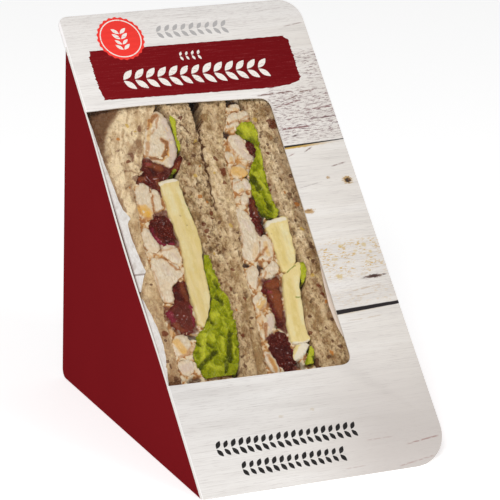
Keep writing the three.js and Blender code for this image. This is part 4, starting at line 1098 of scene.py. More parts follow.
# shades painted on the crumb: half width, strength and line
breadShades = {
    "light": [
        (2.6, 0.95, (16, 39), (13, 44), (10.6, 50), (8.6, 56), (7.6, 62), (6.8, 68), (6.2, 76)),
        (1.2, 0.7, (15.6, 46.2), (18.2, 47.4), (18.6, 50)), (1.2, 0.5, (12.5, 60), (15.6, 61.6)),
        (1.0, 0.6, (22, 38.6), (24, 40.4)), (0.8, 0.6, (8.4, 70), (8.2, 76)),
        (1.6, 0.5, (34.5, 44), (35, 56)), (1.6, 0.4, (33.5, 68), (32.5, 84), (33.5, 98)),
        (1.2, 0.6, (42, 51.6), (44.6, 52.4)), (1.3, 0.6, (41.8, 59), (42.8, 65)),
        (1.0, 0.5, (43.6, 67), (41.4, 70)), (1.5, 0.5, (41.8, 104), (41, 116), (38.6, 128)),
        (1.2, 0.5, (48.5, 40), (47.5, 48), (46, 56)), (1.2, 0.55, (42, 74), (40.6, 84)),
        (1.3, 0.6, (64, 60), (64.4, 68), (64.6, 78)), (1.2, 0.4, (65, 100), (64, 112)),
        (0.9, 0.5, (36.4, 70), (36.8, 75)), (0.8, 0.5, (30.4, 66), (31.6, 70)),
    ],
    "shade": [
        (0.7, 0.6, (3.2, 57), (3.4, 66), (4.0, 72)), (0.8, 0.75, (4.7, 72.5), (4.6, 77.6)),
        (0.6, 0.7, (4.4, 84), (4.7, 92)), (0.6, 0.7, (5.3, 94.5), (5.8, 98.5)),
        (1.4, 0.75, (17.6, 51), (14.6, 53.6), (12.8, 57.4)), (0.9, 0.6, (18.4, 50.4), (17, 55.4)),
        (0.45, 0.7, (8.6, 61.6), (12, 62.2), (15.8, 64.2)),
        (0.5, 0.6, (14, 59.6), (15.4, 61), (14.8, 63.4)), (0.9, 0.6, (9.6, 67.6), (9.4, 73), (10.2, 76)),
        (0.5, 0.5, (10.6, 57), (9.2, 62)), (0.5, 0.4, (20.6, 44), (18.4, 49)),
        (0.4, 0.5, (15.4, 40), (14.6, 41.4)),
        (1.2, 0.5, (69.8, 42), (69.9, 56), (69.6, 72), (69.2, 90), (68.8, 105)),
        (1.2, 0.5, (67.6, 62), (68, 76)), (1.8, 0.5, (4, 112), (5.6, 124), (5, 138), (6, 143)),
        (1.3, 0.85, (3.5, 141), (9, 142.6), (16, 143.4)), (1.2, 0.5, (66.5, 112), (67.6, 119), (67.6, 128)),
        (1.1, 0.5, (61.5, 72), (61.8, 78)), (0.7, 0.5, (36.4, 56), (36.0, 60)),
        (1.0, 0.4, (31.6, 54), (33.6, 60), (34.2, 63)), (0.9, 0.55, (31.2, 84), (31, 90)),
        (0.7, 0.5, (29, 40), (31.6, 41.6)), (1.0, 0.45, (46, 63.6), (45, 68)),
        (0.8, 0.4, (49, 44), (46.4, 49.6)), (0.9, 0.4, (40.6, 84), (42.6, 88), (41.4, 93)),
        (0.7, 0.4, (33, 71), (30.6, 73)), (0.8, 0.4, (66.8, 66), (66.2, 70)),
        (0.8, 0.45, (68.6, 80), (68.4, 85)),
    ],
    # painted shade in the gaps between the slices and low along the window's foot
    "gap": [
        (1.7, 1.0, (43, 37), (43, 40), (42.8, 42)), (1.3, 1.0, (42.8, 42), (42.6, 45.4)),
        (0.9, 0.9, (42.2, 45), (41.2, 48.4)),
        (0.4, 0.85, (41.4, 48.4), (40.8, 50.6), (40.6, 53), (40.8, 55), (39.9, 57.6), (39.4, 60)),
        (0.36, 0.85, (39.4, 60), (39.8, 62), (39.1, 64), (39.6, 67), (38.8, 69.2), (39.3, 71.2)),
        (0.34, 0.75, (39.3, 71.2), (38.5, 73.4), (38.9, 76), (38.1, 78.6), (38.2, 81)),
        (0.34, 0.8, (37.6, 71.2), (39, 70.6)), (0.6, 0.8, (28.4, 37.6), (28.6, 39.6), (27.6, 41.2)),
        (0.35, 0.6, (34.6, 45.4), (36.6, 47.6), (37.4, 50)), (0.35, 0.6, (32.6, 58.6), (33.6, 60.6)),
        (0.4, 0.6, (44, 89.6), (43.6, 93.4)), (1.0, 0.95, (57.3, 141), (57.6, 144)),
        (1.1, 0.8, (2.5, 143), (9, 143.2), (15, 143.6)),
    ],
    "ruddy": [
        (0.7, 0.9, (3.2, 39.4), (3.4, 44), (4.2, 49.6)), (1.0, 0.8, (13.4, 55.6), (13.8, 56.6)),
        (1.0, 0.8, (11.8, 65.2), (14.6, 64.6)), (0.55, 0.9, (19.6, 44.8), (19, 46.6)),
        (0.4, 0.9, (16.2, 46.8), (15.9, 48)), (0.4, 0.7, (12.4, 58.9), (13.1, 57.7)),
        (0.35, 0.7, (9.6, 53.6), (8, 54.3)), (1.2, 0.7, (69.4, 48.2), (69.8, 51)),
        (0.9, 0.6, (45.2, 64.8), (45.4, 67)), (1.0, 0.5, (60.8, 41), (61.8, 46)),
        (0.8, 0.5, (41.6, 82), (42.8, 87)), (0.7, 0.7, (67.4, 113.6), (67.8, 118.6)),
        (0.8, 0.6, (68.6, 79.6), (68.8, 82.8)),
    ],
}


def breadFinish():
    f = Finish("breadCrumb", 0.9, {"Specular IOR Level": 0.05})
    shadedPore, tone, opening = f.attribute("shadedPore"), f.attribute("tone"), f.attribute("opening")
    drift = f.noise((0.5, 0.4, 0.3), detail=2, seed=90) * 3
    patch = f.noise((0.3, 0.2, 0.22), detail=5, roughness=0.62, seed=41)
    strand = f.noise((1.25, 0.5, 0.8), detail=5, roughness=0.62, seed=3, shift=drift)
    crumbs = f.noise((2.1, 1.7, 1.6), detail=4, roughness=0.6, seed=57)
    grit = f.noise((5.5, 4.2, 4.5), detail=3, roughness=0.7, seed=21)
    # the leftmost slice is the finest, and all are calmer low down
    calm = (opening * 0.5 + 0.5).atMost(1) * (1 - f.down.step(96, 108) * 0.34)
    level = tone + (patch - 0.5) * 2.7 * calm + ((strand - 0.5) * 1.1 + (crumbs - 0.5) * 1.0) * calm
    # lumps painted lighter and the hollows between them darker, as painted light and shade
    level = level + f.attribute("lump") * 0.3 * calm + f.attribute("light") * 0.4
    f.base = f.mix(level.step(-0.05, 0.55), bread["crumbDark"], bread["crumb"])
    f.lay(level.step(0.45, 1.05), bread["crumbLight"])
    tint = f.noise((0.6, 0.42, 0.4), detail=4, roughness=0.6, seed=66)
    f.lay(tint.step(0.53, 0.66) * 0.42, (162, 116, 78))
    f.lay(tint.step(0.42, 0.32) * 0.4, (244, 222, 162))
    wash = f.noise((0.4, 0.12, 0.3), detail=4, roughness=0.6, seed=29, shift=f.down * 0.13)
    f.lay(wash.step(0.44, 0.6) * opening.step(0.45, 0.2) * 0.6, (172, 134, 94))
    shade = (f.attribute("shade") + (crumbs - 0.5) * 1.2 + (strand - 0.5) * 0.8).step(0.15, 0.95)
    f.lay(shade * 0.75, (128, 84, 54))
    f.lay((f.attribute("ruddy") + (crumbs - 0.5) * 1.2).step(0.3, 0.8) * 0.75, (112, 56, 36))
    crust = (f.attribute("crust") + (crumbs - 0.5) * 0.7 + (patch - 0.5) * 0.7).step(0.05, 0.95)
    f.lay(crust * 0.94, f.mix(patch.step(0.4, 0.6), (104, 66, 44), bread["crust"]))
    f.lay(crust * grit.step(0.56, 0.66) * 0.6, (166, 130, 100))
    # open pores where the strands run thin, and the hollows of the mesh, painted dark as shade
    thin = strand * 0.5 + crumbs * 0.5 - opening * 0.045
    pit = thin.step(0.43, 0.34)
    f.lay(pit * calm * 0.6, (118, 78, 48))
    f.lay(grit.step(0.42, 0.3) * (opening * 0.3 + 0.15), (124, 88, 56))
    f.lay(grit.step(0.58, 0.68) * calm * 0.4, (248, 230, 192))
    f.lay(shadedPore * 0.6, bread["shadedPore"])
    # bran, scattered unevenly
    bran = f.noise((1.5, 1.3, 1.3), detail=3, roughness=0.5, seed=5)
    f.lay((bran + opening * 0.02).step(0.66, 0.71) * 0.75, (112, 62, 38))
    tiny = f.noise((3.3, 2.9, 2.9), detail=2, seed=47)
    f.lay((tiny + opening * 0.02).step(0.66, 0.72) * 0.65, (104, 62, 38))
    kinds = {"red": "seedRed", "dark": "seedDark", "yellow": "seedYellow", "orange": "seedOrange"}
    for kind, colour in kinds.items():
        mark = (f.attribute(kind) + grit * 0.7).step(0.75, 1.05)
        f.lay(mark * 0.85, bread[colour])
    # painted shade in the gaps
    f.lay((f.attribute("gap") + (crumbs - 0.5) * 1.6).step(0.35, 0.75) * 0.95, (98, 62, 38))
    f.colour()
    f.bump((strand * 0.6 + crumbs * 0.6 + grit * 0.4 - pit * 0.3) * calm, 0.5)
    return f.material


def columnShares(count):
    # even in the middle and closer together at both edges
    t = np.linspace(0, 1, count)
    return t - 0.12 * np.sin(2 * math.pi * t) / math.pi


def sliceSection(tree, down):
    # where a slice begins and ends across, and how far back it goes, at one place down the front
    deep = 2.3 + min(9.0, 0.75 * max(down - 26, 3)) if down < 100 else 8.0
    left = tree.ray_cast(Vector((-3, down, deep)), Vector((1, 0, 0)))[0].x
    right = tree.ray_cast(Vector((76, down, deep)), Vector((-1, 0, 0)))[0].x
    back = tree.ray_cast(Vector(((left + right) / 2, down, 130)), Vector((0, 0, -1)))[0].z
    return left, right, back


def faceGrid(name, downs, count):
    # a dense grid over a slice's front: the places across and depths of its points, and each row's back
    tree = nodeTree(name)
    sections = [sliceSection(tree, down) for down in downs]
    left, right, back = np.array(sections).T
    left, right = smoothed(left, bread["settle"]), smoothed(right, bread["settle"])
    across = left[:, None] + (right - left)[:, None] * columnShares(count)
    deep = np.zeros_like(across)
    for i, down in enumerate(downs):
        for k, u in enumerate(across[i]):
            inside = min(max(u, sections[i][0] + 0.04), sections[i][1] - 0.04)
            hit = tree.ray_cast(Vector((inside, down, -5)), Vector((0, 0, 1)))[0]
            deep[i, k] = hit.z if hit else 3
    return across, smoothed(deep, bread["settle"]), back


def addSlice(name, material, seed, tone, opening, crustSide):
    lean = bread["lean"]
    downs = np.concatenate([np.arange(*span) for span in bread["rows"]])
    across, deep, back = faceGrid(name, downs, bread["columns"])
    rows, count = across.shape
    grid = gridOf(across, downs, deep)
    # edges that wander and tear a little
    share = np.tile(columnShares(count), rows)
    rim = smoothStep(np.minimum(share, 1 - share), 0, 0.09)
    ragged = layered(noiseB, grid * (0, 0.9, 0) + seed, 3)
    grid[:, 0] += (1 - rim) * 0.46 * ragged
    # only the crust turns away; elsewhere the cut goes flat to the edge and meets its neighbour
    crusty = share < (0.5 if crustSide == "left" else 0)
    grid[:, 2] = np.where(crusty, grid[:, 2], 2.3 + 0.35 * (1 - rim))
    grid[:, 0] += np.where(crusty, 0, (1 - rim) * np.where(share < 0.5, -0.22, 0.22))
    if crustSide == "right":
        grid[:, 2] -= 0.75 * smoothStep(share, 0.82, 0.97)
    swell = 0.45 * layered(noiseA, grid * (0.16, 0.12, 0) + seed, 2)
    flat = np.zeros(len(grid))
    warp = grid + 0.9 * drift(noiseB(grid / 1.7), noiseC(grid / 1.7))
    warp += 0.4 * drift(noiseC(grid / 0.7 + 5), noiseA(grid / 0.7 + 5))
    crowd = 0.5 + 0.9 * noiseC(grid / 6.5 + 2 * seed)
    big = pores(warp, 3.6, seed + 1, 0.12 + 0.14 * opening, 0.3, 0.95, 1.7, lean)
    middle = pores(warp, 1.7, seed + 2, 0.28 + 0.3 * opening, 0.2, 0.6, 1.6, lean + 8)
    middle = middle * smoothStep(crowd, 0, 0.6)
    small = pores(warp, 0.9, seed + 3, 0.6, 0.12, 0.3, 1.4, lean) * smoothStep(crowd, 0.1, 0.8)
    lump = layered(noiseA, grid / (2.4, 3.0, 1) + 2 * seed, 3, 0.6)
    tear = 1 - np.abs(noiseB(leaning(warp, 2.4, lean + 4) / 1.5 + seed)) * 2.4
    web = noiseC(leaning(warp, 2.4, lean) / 0.8) * 0.7 + noiseB(grid / 0.5) * 0.6
    # how deep each point lies in a pore, which the material paints dark as shade
    shadedPore = np.clip(np.maximum(np.maximum(big, 0.75 * middle), 0.35 * small), 0, 1)
    relief = bread["relief"]
    sink = 1.15 * big * relief + 0.75 * middle * relief + 0.3 * small * relief - 0.45 * lump - 0.16 * tear
    # the gaps between the slices are sunk, and painted dark as shade
    gap = painted(grid, breadShades["gap"], 0.9)
    grid[:, 2] += swell * rim + (sink + relief * 0.13 * web) * (0.35 + 0.65 * rim) + 0.8 * gap
    grid[:, 2] = np.maximum(grid[:, 2], bread["nearest"])
    tones = np.interp(grid[:, 1], bread["toneDown"], tone)
    marks = {"shadedPore": shadedPore, "tone": tones + 0.2 * layered(noiseC, grid * (0.2, 0.13, 0) + 3 * seed, 3)}
    # lumps that the material paints lighter, as painted light
    marks["lump"], marks["opening"] = lump + 0.4 * tear, flat + opening
    marks.update(strokeMarks(grid, breadShades, 0.6))
    for kind, spots in breadMarks.items():
        marks[kind] = painted(grid, [(size * bread["markSize"], 1, (u, v)) for u, v, size in spots], 0.7)
    turned = flat
    if crustSide == "left":
        edge = np.interp(grid[:, 1], bread["crustDown"], bread["crustAcross"])
        turned = smoothStep(edge - grid[:, 0] + 0.8 * layered(noiseB, grid / 2.2, 3), -2.6, 2.2)
    marks["crust"] = turned
    # sides run straight back to the crust
    face = grid.reshape(rows, count, 3)
    backs = np.linspace(0.3, 1, 4)
    rings = []
    for i in range(rows):
        first, last = face[i, 0], face[i, -1]
        leftSide = [(first[0], downs[i], first[2] + (back[i] - first[2]) * t) for t in backs[::-1]]
        rightSide = [(last[0], downs[i], last[2] + (back[i] - last[2]) * t) for t in backs]
        rings.append(np.vstack([leftSide, face[i], rightSide]))
    sides = len(backs)
    points, faces = skinOf(rings)
    full = overRings(marks, rows, np.r_[[0] * sides, :count, [count - 1] * sides])
    crust = full["crust"].reshape(rows, -1)
    if crustSide:
        crust[:, slice(sides) if crustSide == "left" else slice(-sides, None)] = 1
    addPiece(name + "Slice", points, faces, material, (name,), marks=full)


breadMaterial = breadFinish()
sliceNames = ["bread_a_outer", "bread_a_inner", "bread_b_inner", "bread_b_outer"]
for k, name in enumerate(sliceNames):
    crustSide = {0: "left", 3: "right"}.get(k)
    addSlice(name, breadMaterial, 11 + 7 * k, bread["tones"][k], bread["openings"][k], crustSide)
print("bread cut")


def reshaped(points, faces, voxel, rounds):
    # the same closed shape with an even dense mesh, softened
    mesh = bpy.data.meshes.new("work")
    mesh.from_pydata(np.asarray(points).tolist(), [], [list(face) for face in faces])
    work = bpy.data.objects.new("work", mesh)
    bpy.context.scene.collection.objects.link(work)
    remesh = work.modifiers.new("remesh", "REMESH")
    remesh.mode = "VOXEL"
    remesh.voxel_size = voxel
    soften = work.modifiers.new("soften", "SMOOTH")
    soften.factor, soften.iterations = 0.5, rounds
    made = bpy.data.meshes.new_from_object(work.evaluated_get(bpy.context.evaluated_depsgraph_get()))
    spots, normals = vectorsOf(made.vertices, "co"), vectorsOf(made.vertices, "normal")
    loops = [tuple(face.vertices) for face in made.polygons]
    bpy.data.objects.remove(work)
    bpy.data.meshes.remove(made)
    return spots, normals, loops


def softShape(name, look):
    # a filling node as an even mesh; rim is 1 on its outline, seen from the front
    points, faces = nodeShape(name)
    points, normals, loops = reshaped(raised(points), faces, look["voxel"], look["rounds"])
    return points, normals, loops, smoothStep(normals[:, 2], -0.97, -0.45)


def addSoft(name, points, loops, material, replaced, look, strokes, rim):
    points[:, 2] = np.maximum(points[:, 2], look["nearest"])
    marks = {"rim": rim, **strokeMarks(points, strokes, look["wobble"])}
    addPiece(name, points, loops, material, (replaced,), marks=marks)


# Roast chicken: pale cut meat with browned, seasoned edges.
chicken = {
    "meat": (238, 225, 203),
    "meatShade": (210, 187, 154),
    "mauve": (204, 178, 170),
    "roast": (182, 118, 50),
    "golden": (222, 166, 50),
    "dark": (98, 52, 30),
    "voxel": 0.33,
    "rounds": 1,
    "nearest": 1.35,
    "wobble": 0.35,
    "spread": 0.58,
    "swell": 0.06,
    "lumps": 0.3,
    "fibres": 0.12,
}
chickenStrokes = {
    "roast": [
        (0.9, 0.95, (24.4, 43.6), (25.6, 42.2), (26.9, 41.2)),
        (0.5, 0.9, (22.2, 46.4), (23.2, 44.4), (23.9, 42.6)),
        (0.4, 0.7, (27.6, 41.8), (26.4, 44), (25.8, 46.4)),
        (0.95, 1.0, (26.4, 51.0), (27.9, 52.6), (27.3, 54.8), (26.0, 56.8)),
        (0.8, 1.0, (26, 56.8), (24.2, 58.2), (21.6, 58.0), (19.2, 57.4)),
        (0.7, 0.7, (20.8, 51.6), (20.2, 54), (19.2, 56.4)),
        (0.35, 0.6, (21.6, 49), (23.6, 48.2), (24.6, 46.8)), (0.9, 0.8, (11.8, 80.9), (13.2, 81.2)),
        (0.35, 0.7, (10.4, 74), (10.7, 79.5)), (0.45, 0.9, (16.5, 72.5), (15.7, 76), (15.3, 79)),
        (0.6, 0.8, (17, 79.2), (19, 78.4)),
        (0.5, 0.9, (9.2, 94.6), (10.4, 95.4), (12.6, 95.9), (14.6, 97.2), (15.8, 99.2), (17.2, 101.6),
         (19, 101.4)),
        (0.35, 0.6, (7.4, 91.6), (8.6, 92.6)), (0.4, 0.5, (14.2, 93.6), (18.6, 93.4)),
        (0.35, 0.5, (8.6, 101), (8.9, 108), (9.7, 113)),
        (0.6, 0.7, (8.2, 133.4), (11.4, 133.4), (13.2, 131)), (0.4, 0.6, (52.2, 49.8), (56.4, 48.8)),
        (0.4, 0.7, (53.9, 47.2), (57.2, 46.2)), (0.4, 0.6, (56, 42.9), (58.8, 42.6)),
        (0.4, 0.6, (58.4, 46.2), (61.6, 45)),
        (0.5, 0.8, (51.6, 58.2), (53.4, 60.9), (55.4, 63.3), (57.4, 64)),
        (0.35, 0.6, (50.9, 55), (51.4, 57.6)), (0.4, 0.8, (48.4, 63.4), (50.2, 62.8)),
        (0.4, 0.8, (48.2, 75.8), (51, 74.4)), (0.4, 0.6, (48.2, 71.2), (50, 70.6)),
        (0.45, 0.7, (48.9, 80.6), (50.6, 79.6)),
        (0.5, 0.9, (42.6, 101.1), (44.6, 102.2), (46.8, 101.9), (48.8, 99.6)),
        (0.3, 0.4, (45.2, 84), (45.1, 90), (44.2, 95)),
        (0.5, 0.9, (50.2, 99.4), (51.2, 98.2), (52.4, 97.2)), (0.45, 0.7, (50.8, 102.4), (53.4, 101.4)),
        (0.45, 0.8, (47.8, 108.6), (49.4, 106.4)), (0.35, 0.6, (43.8, 112.6), (45.4, 109.4)),
        (0.6, 0.6, (42.2, 120.6), (45.8, 118.6)), (0.7, 0.9, (42, 130.6), (42.2, 128.4), (43.4, 125.6)),
        (0.6, 0.8, (40.4, 137.4), (41.2, 142), (41.6, 145)),
    ],
    "golden": [
        (1.9, 1.0, (11.0, 77.2), (12.8, 79.4)), (1.0, 0.8, (12.6, 76), (14, 79)),
        (1.6, 0.85, (9.2, 128.4), (10.6, 131.6)), (2.2, 0.85, (50, 66.6), (52.8, 67.8)),
        (1.2, 0.8, (43, 119), (44.8, 117)), (0.8, 0.8, (41, 139), (41.4, 143)),
        (0.9, 0.6, (52.4, 95.4), (52.2, 100)), (0.8, 0.6, (49.9, 61.4), (49.3, 63)),
        (0.7, 0.5, (57, 41.8), (58, 42)), (0.6, 0.5, (54.6, 49), (53, 49.6)),
        (0.8, 0.5, (22.8, 47.2), (21.4, 50.4)), (0.8, 0.9, (27.6, 54), (26.6, 57), (24, 58.6)),
        (0.9, 0.7, (23.2, 45.4), (24, 43)), (0.6, 0.6, (49.2, 74.4), (50.2, 74)),
        (1.0, 0.35, (48.6, 96), (46.8, 100)),
    ],
    "mauve": [
        (1.8, 0.8, (30, 44.5), (30.2, 50), (29.6, 56), (28.2, 60)),
        (1.6, 0.6, (54.6, 54.4), (55.2, 58), (56.4, 61)), (1.2, 0.8, (44.6, 127.2), (45.8, 124)),
        (1.6, 0.7, (9, 138), (11.4, 137.8)), (0.9, 0.7, (52.2, 72), (52.6, 73.4)),
        (0.8, 0.5, (47.2, 86), (48.6, 90)), (0.9, 0.35, (12.6, 99.4), (14.2, 103)),
        (0.7, 0.4, (17.4, 95.6), (18.4, 98)),
    ],
}


def chickenFinish():
    f = Finish("roastChicken", 0.45, {
        "Specular IOR Level": 0.35, "Subsurface Weight": 0.12, "Subsurface Radius": (1.0, 0.7, 0.5),
        "Coat Weight": 0.12, "Coat Roughness": 0.12, "Subsurface Scale": 0.0016,
    })
    fibre = f.noise((1.9, 0.55, 1.2), detail=4, roughness=0.62, seed=4)
    cloud = f.noise((0.42, 0.3, 0.3), detail=4, roughness=0.6, seed=18)
    fine = f.noise((5, 3.4, 4), detail=3, seed=28)
    rim = f.attribute("rim")
    f.base = f.mix((fibre * 0.7 + cloud * 0.5).step(0.78, 0.42), chicken["meat"], chicken["meatShade"])
    f.lay(cloud.step(0.46, 0.62) * 0.55, (216, 186, 144))
    f.lay(f.attribute("mauve") * 0.62, chicken["mauve"])
    seasoned = (rim + cloud * 0.8 + fine * 0.5).step(1.3, 1.85)
    f.lay(seasoned * 0.6, (214, 166, 106))
    f.lay((rim + cloud * 1.6).step(1.6, 1.95) * 0.85, chicken["roast"])
    f.lay(f.attribute("golden") * (0.25 + cloud * 0.7 + fine * 0.5), chicken["golden"])
    roast = f.attribute("roast")
    f.lay(roast * (0.65 + fine * 0.6), chicken["roast"])
    f.lay((roast + fine * 0.6).step(1.1, 1.4) * 0.75, chicken["dark"])
    pepper = f.cells((0.75, 0.75, 0.75), seed=9).step(0.11, 0.05)
    f.lay(pepper * 0.5, (132, 80, 44))
    f.lay(f.deep.step(4.5, 8), (150, 108, 76))
    f.colour()
    f.rough(fine * 0.3 + 0.28)
    f.bump(fibre + fine * 0.5, 0.22)
    return f.material


def spunDirection(name):
    # each cut piece has its own grain direction
    return (sum(ord(letter) * (k + 3) for k, letter in enumerate(name)) * 37) % 180 - 90


def addChicken(name, material):
    points, normals, loops, rim = softShape(name, chicken)
    lean = spunDirection(name)
    lump = layered(noiseA, points / 2.2 + lean, 3, 0.6)
    fold = 1 - np.abs(noiseB(leaning(points, 2.6, lean) / 1.5)) * 2.4
    grain = noiseC(leaning(points, 5, lean) / 0.62)
    # broken outlines
    torn = layered(noiseB, points / 2.0 + lean, 2) * rim
    spread = chicken["spread"] + 0.5 * torn
    points = points + normals * drift(spread, spread)
    shift = chicken["swell"] + chicken["lumps"] * lump * 0.6 - 0.24 * smoothStep(fold, 0.65, 1)
    shift = shift + chicken["fibres"] * grain
    points = points + normals * shift[:, None]
    title = name.replace("chicken", "chickenChunk")
    addSoft(title, points, loops, material, name, chicken, chickenStrokes, rim)


# Cranberry sauce: dark, wet and lumpy, redder where it is thin.
cranberry = {
    "deep": (52, 8, 4),
    "body": (98, 28, 15),
    "thin": (164, 92, 50),
    "magenta": (146, 40, 66),
    # pale flecks, partly painted glints
    "glintAndFleck": (196, 164, 160),
    "voxel": 0.32,
    "rounds": 4,
    "nearest": 1.4,
    "wobble": 0.45,
    "swell": 0.12,
}
cranberryStrokes = {
    "green": [(0.8, 0.95, (25.2, 66.8), (26.2, 65.2), (27.4, 63.8))],
    "thin": [
        (2.0, 0.8, (49, 111.5), (51.4, 111)), (2.2, 0.85, (49.6, 115), (50.6, 123)),
        (0.9, 0.6, (12.2, 66), (15, 65.8)), (1.4, 0.8, (18, 60), (22, 62.2)),
        (0.8, 0.6, (27, 64), (30, 61)), (0.8, 0.6, (19.5, 66), (20, 70)),
        (0.8, 0.5, (52.4, 79), (52.2, 84)), (0.8, 0.5, (16.8, 107.6), (17.4, 113)),
        (0.8, 0.5, (10.6, 121.6), (12.4, 124.4)),
    ],
    "magenta": [
        (0.6, 0.9, (12.6, 88.4), (14.4, 91.6), (18.6, 91.8)), (0.6, 0.9, (19.4, 80.9), (20.5, 82.6)),
        (0.5, 0.6, (12.6, 85), (12.4, 88)), (0.8, 0.85, (18.3, 115.8), (18.2, 119), (17.9, 122.6)),
        (1.2, 0.7, (9.6, 117), (10, 120)), (0.6, 0.8, (47.4, 109.4), (49.4, 109.8)),
        (0.7, 0.8, (50.2, 134.8), (50.2, 137.2)), (0.6, 0.5, (16.8, 59.6), (18.8, 60.6)),
        (0.5, 0.7, (47.8, 114), (48.4, 114.6)),
    ],
    # pale flecks in the sauce, partly painted glints
    "glintAndFleck": [
        (0.5, 0.8, (12.2, 118.6)), (0.45, 0.8, (13.2, 120.2)), (0.5, 0.8, (14.6, 118.9)),
        (0.5, 0.75, (15.3, 120.3)), (0.4, 0.7, (13.9, 121.8)), (0.4, 0.7, (11.1, 120.7)),
        (0.4, 0.7, (13.9, 117.6)), (0.45, 0.7, (12.6, 122.2)), (0.4, 0.8, (48.4, 116), (48.8, 116.6)),
        (0.34, 0.9, (18.6, 66.4), (19.9, 66.3)), (0.28, 0.9, (16.2, 65.2), (17.2, 66.8)),
        (0.26, 0.9, (15.2, 65.4), (15.8, 66.6)), (0.3, 0.9, (22.4, 65.8), (22.8, 66.3)),
        (0.25, 0.8, (21.2, 63.9), (21.5, 64.2)), (0.28, 0.9, (19.9, 62), (20.3, 61.8)),
        (0.3, 0.8, (24.2, 63.4), (25.2, 63.9)), (0.3, 0.9, (16.3, 83), (16.9, 83.6)),
        (0.3, 0.9, (17.2, 84.2), (17.6, 83.4)), (0.26, 0.8, (13.2, 84), (13.4, 84.3)),
        (0.28, 0.8, (14.4, 90.2), (14.8, 90.6)), (0.28, 0.8, (16.4, 90.2), (16.8, 90.5)),
        (0.3, 0.9, (51.3, 83.9), (51.8, 83.4)), (0.28, 0.8, (52.1, 84.8), (52.6, 85.1)),
        (0.3, 0.9, (43.6, 135.2), (44.1, 135.5)), (0.3, 0.9, (45.3, 136), (45.8, 136.3)),
        (0.3, 0.8, (47.3, 137.5), (47.7, 137.9)), (0.3, 0.8, (46.3, 130.2), (46.7, 130.7)),
        (0.28, 0.8, (49.6, 137.6), (49.9, 138.1)), (0.28, 0.8, (47.8, 138.8), (48.2, 139.2)),
        (0.28, 0.8, (46.8, 141.3), (47.2, 141.7)), (0.28, 0.8, (43.6, 137.9), (44.1, 138.3)),
        (0.28, 0.7, (58.2, 57.4), (58.6, 57.8)), (0.28, 0.7, (57.8, 59.4), (58.1, 59.8)),
    ],
}


def cranberryFinish():
    f = Finish("cranberrySauce", 0.2, {
        "Specular IOR Level": 0.05, "Coat Weight": 0.08, "Coat Roughness": 0.05, "Subsurface Weight": 0.1,
        "Subsurface Radius": (1.2, 0.2, 0.2), "Subsurface Scale": 0.001,
    })
    cloud = f.noise((0.45, 0.4, 0.4), detail=4, seed=6)
    pulp = f.noise((2.6, 2.3, 2.3), detail=4, roughness=0.62, seed=15)
    f.base = f.mix((cloud * 0.5 + pulp * 0.5).step(0.4, 0.6), cranberry["deep"], cranberry["body"])
    # painted shade: the sauce low in the right half is darker
    f.lay(f.down.step(127, 135) * f.across.step(38, 42) * pulp.step(0.62, 0.5) * 0.7, (52, 4, 2))
    grain = f.noise((3.2, 2.6, 2.8), detail=4, roughness=0.7, seed=37)
    f.lay(grain.step(0.53, 0.62) * 0.55, (146, 66, 48))
    f.lay(grain.step(0.45, 0.38) * 0.6, (38, 4, 2))
    f.lay(f.down.step(113, 117) * f.across.step(23, 21) * 0.3, (134, 66, 53))
    f.lay(f.attribute("thin") * (0.3 + pulp * 0.6), cranberry["thin"])
    f.lay((f.attribute("rim") + pulp * 0.6).step(0.95, 1.45) * 0.5, (118, 36, 34))
    f.lay(f.attribute("magenta") * (0.4 + pulp * 0.8), cranberry["magenta"])
    f.lay((f.attribute("green") + pulp * 0.5).step(0.6, 0.9), (126, 134, 30))
    # pale flecks, partly painted glints on the wet sauce
    f.lay((f.attribute("glintAndFleck") + pulp * 0.7).step(0.9, 1.3) * 0.8, cranberry["glintAndFleck"])
    # small pale specks, painted glints on the wet sauce
    seed = f.cells((0.9, 0.8, 0.8), seed=3).step(0.2, 0.1) * cloud.step(0.4, 0.6)
    f.lay(seed * 0.85, (188, 134, 118))
    f.colour()
    f.rough(pulp * 0.25 + 0.06)
    f.bump(pulp + cloud, 0.35)
    return f.material


def addCranberry(name, material):
    points, normals, loops, rim = softShape(name, cranberry)
    berry = pores(points, 2.6, sum(map(ord, name)), 0.75, 0.7, 1.4, 1.1, 20)
    lump = layered(noiseA, points / 2.0 + 40, 3, 0.6)
    shift = cranberry["swell"] + 0.42 * lump + 0.36 * (berry - 0.3) + 0.12 * noiseC(points / 0.6)
    torn = (0.2 + 0.75 * layered(noiseC, points / 1.7 + 8, 3)) * rim
    shift = np.column_stack([shift + torn, shift + torn, shift])
    points = points + normals * shift
    title = name.replace("cranberry", "cranberrySauce")
    addSoft(title, points, loops, material, name, cranberry, cranberryStrokes, rim)


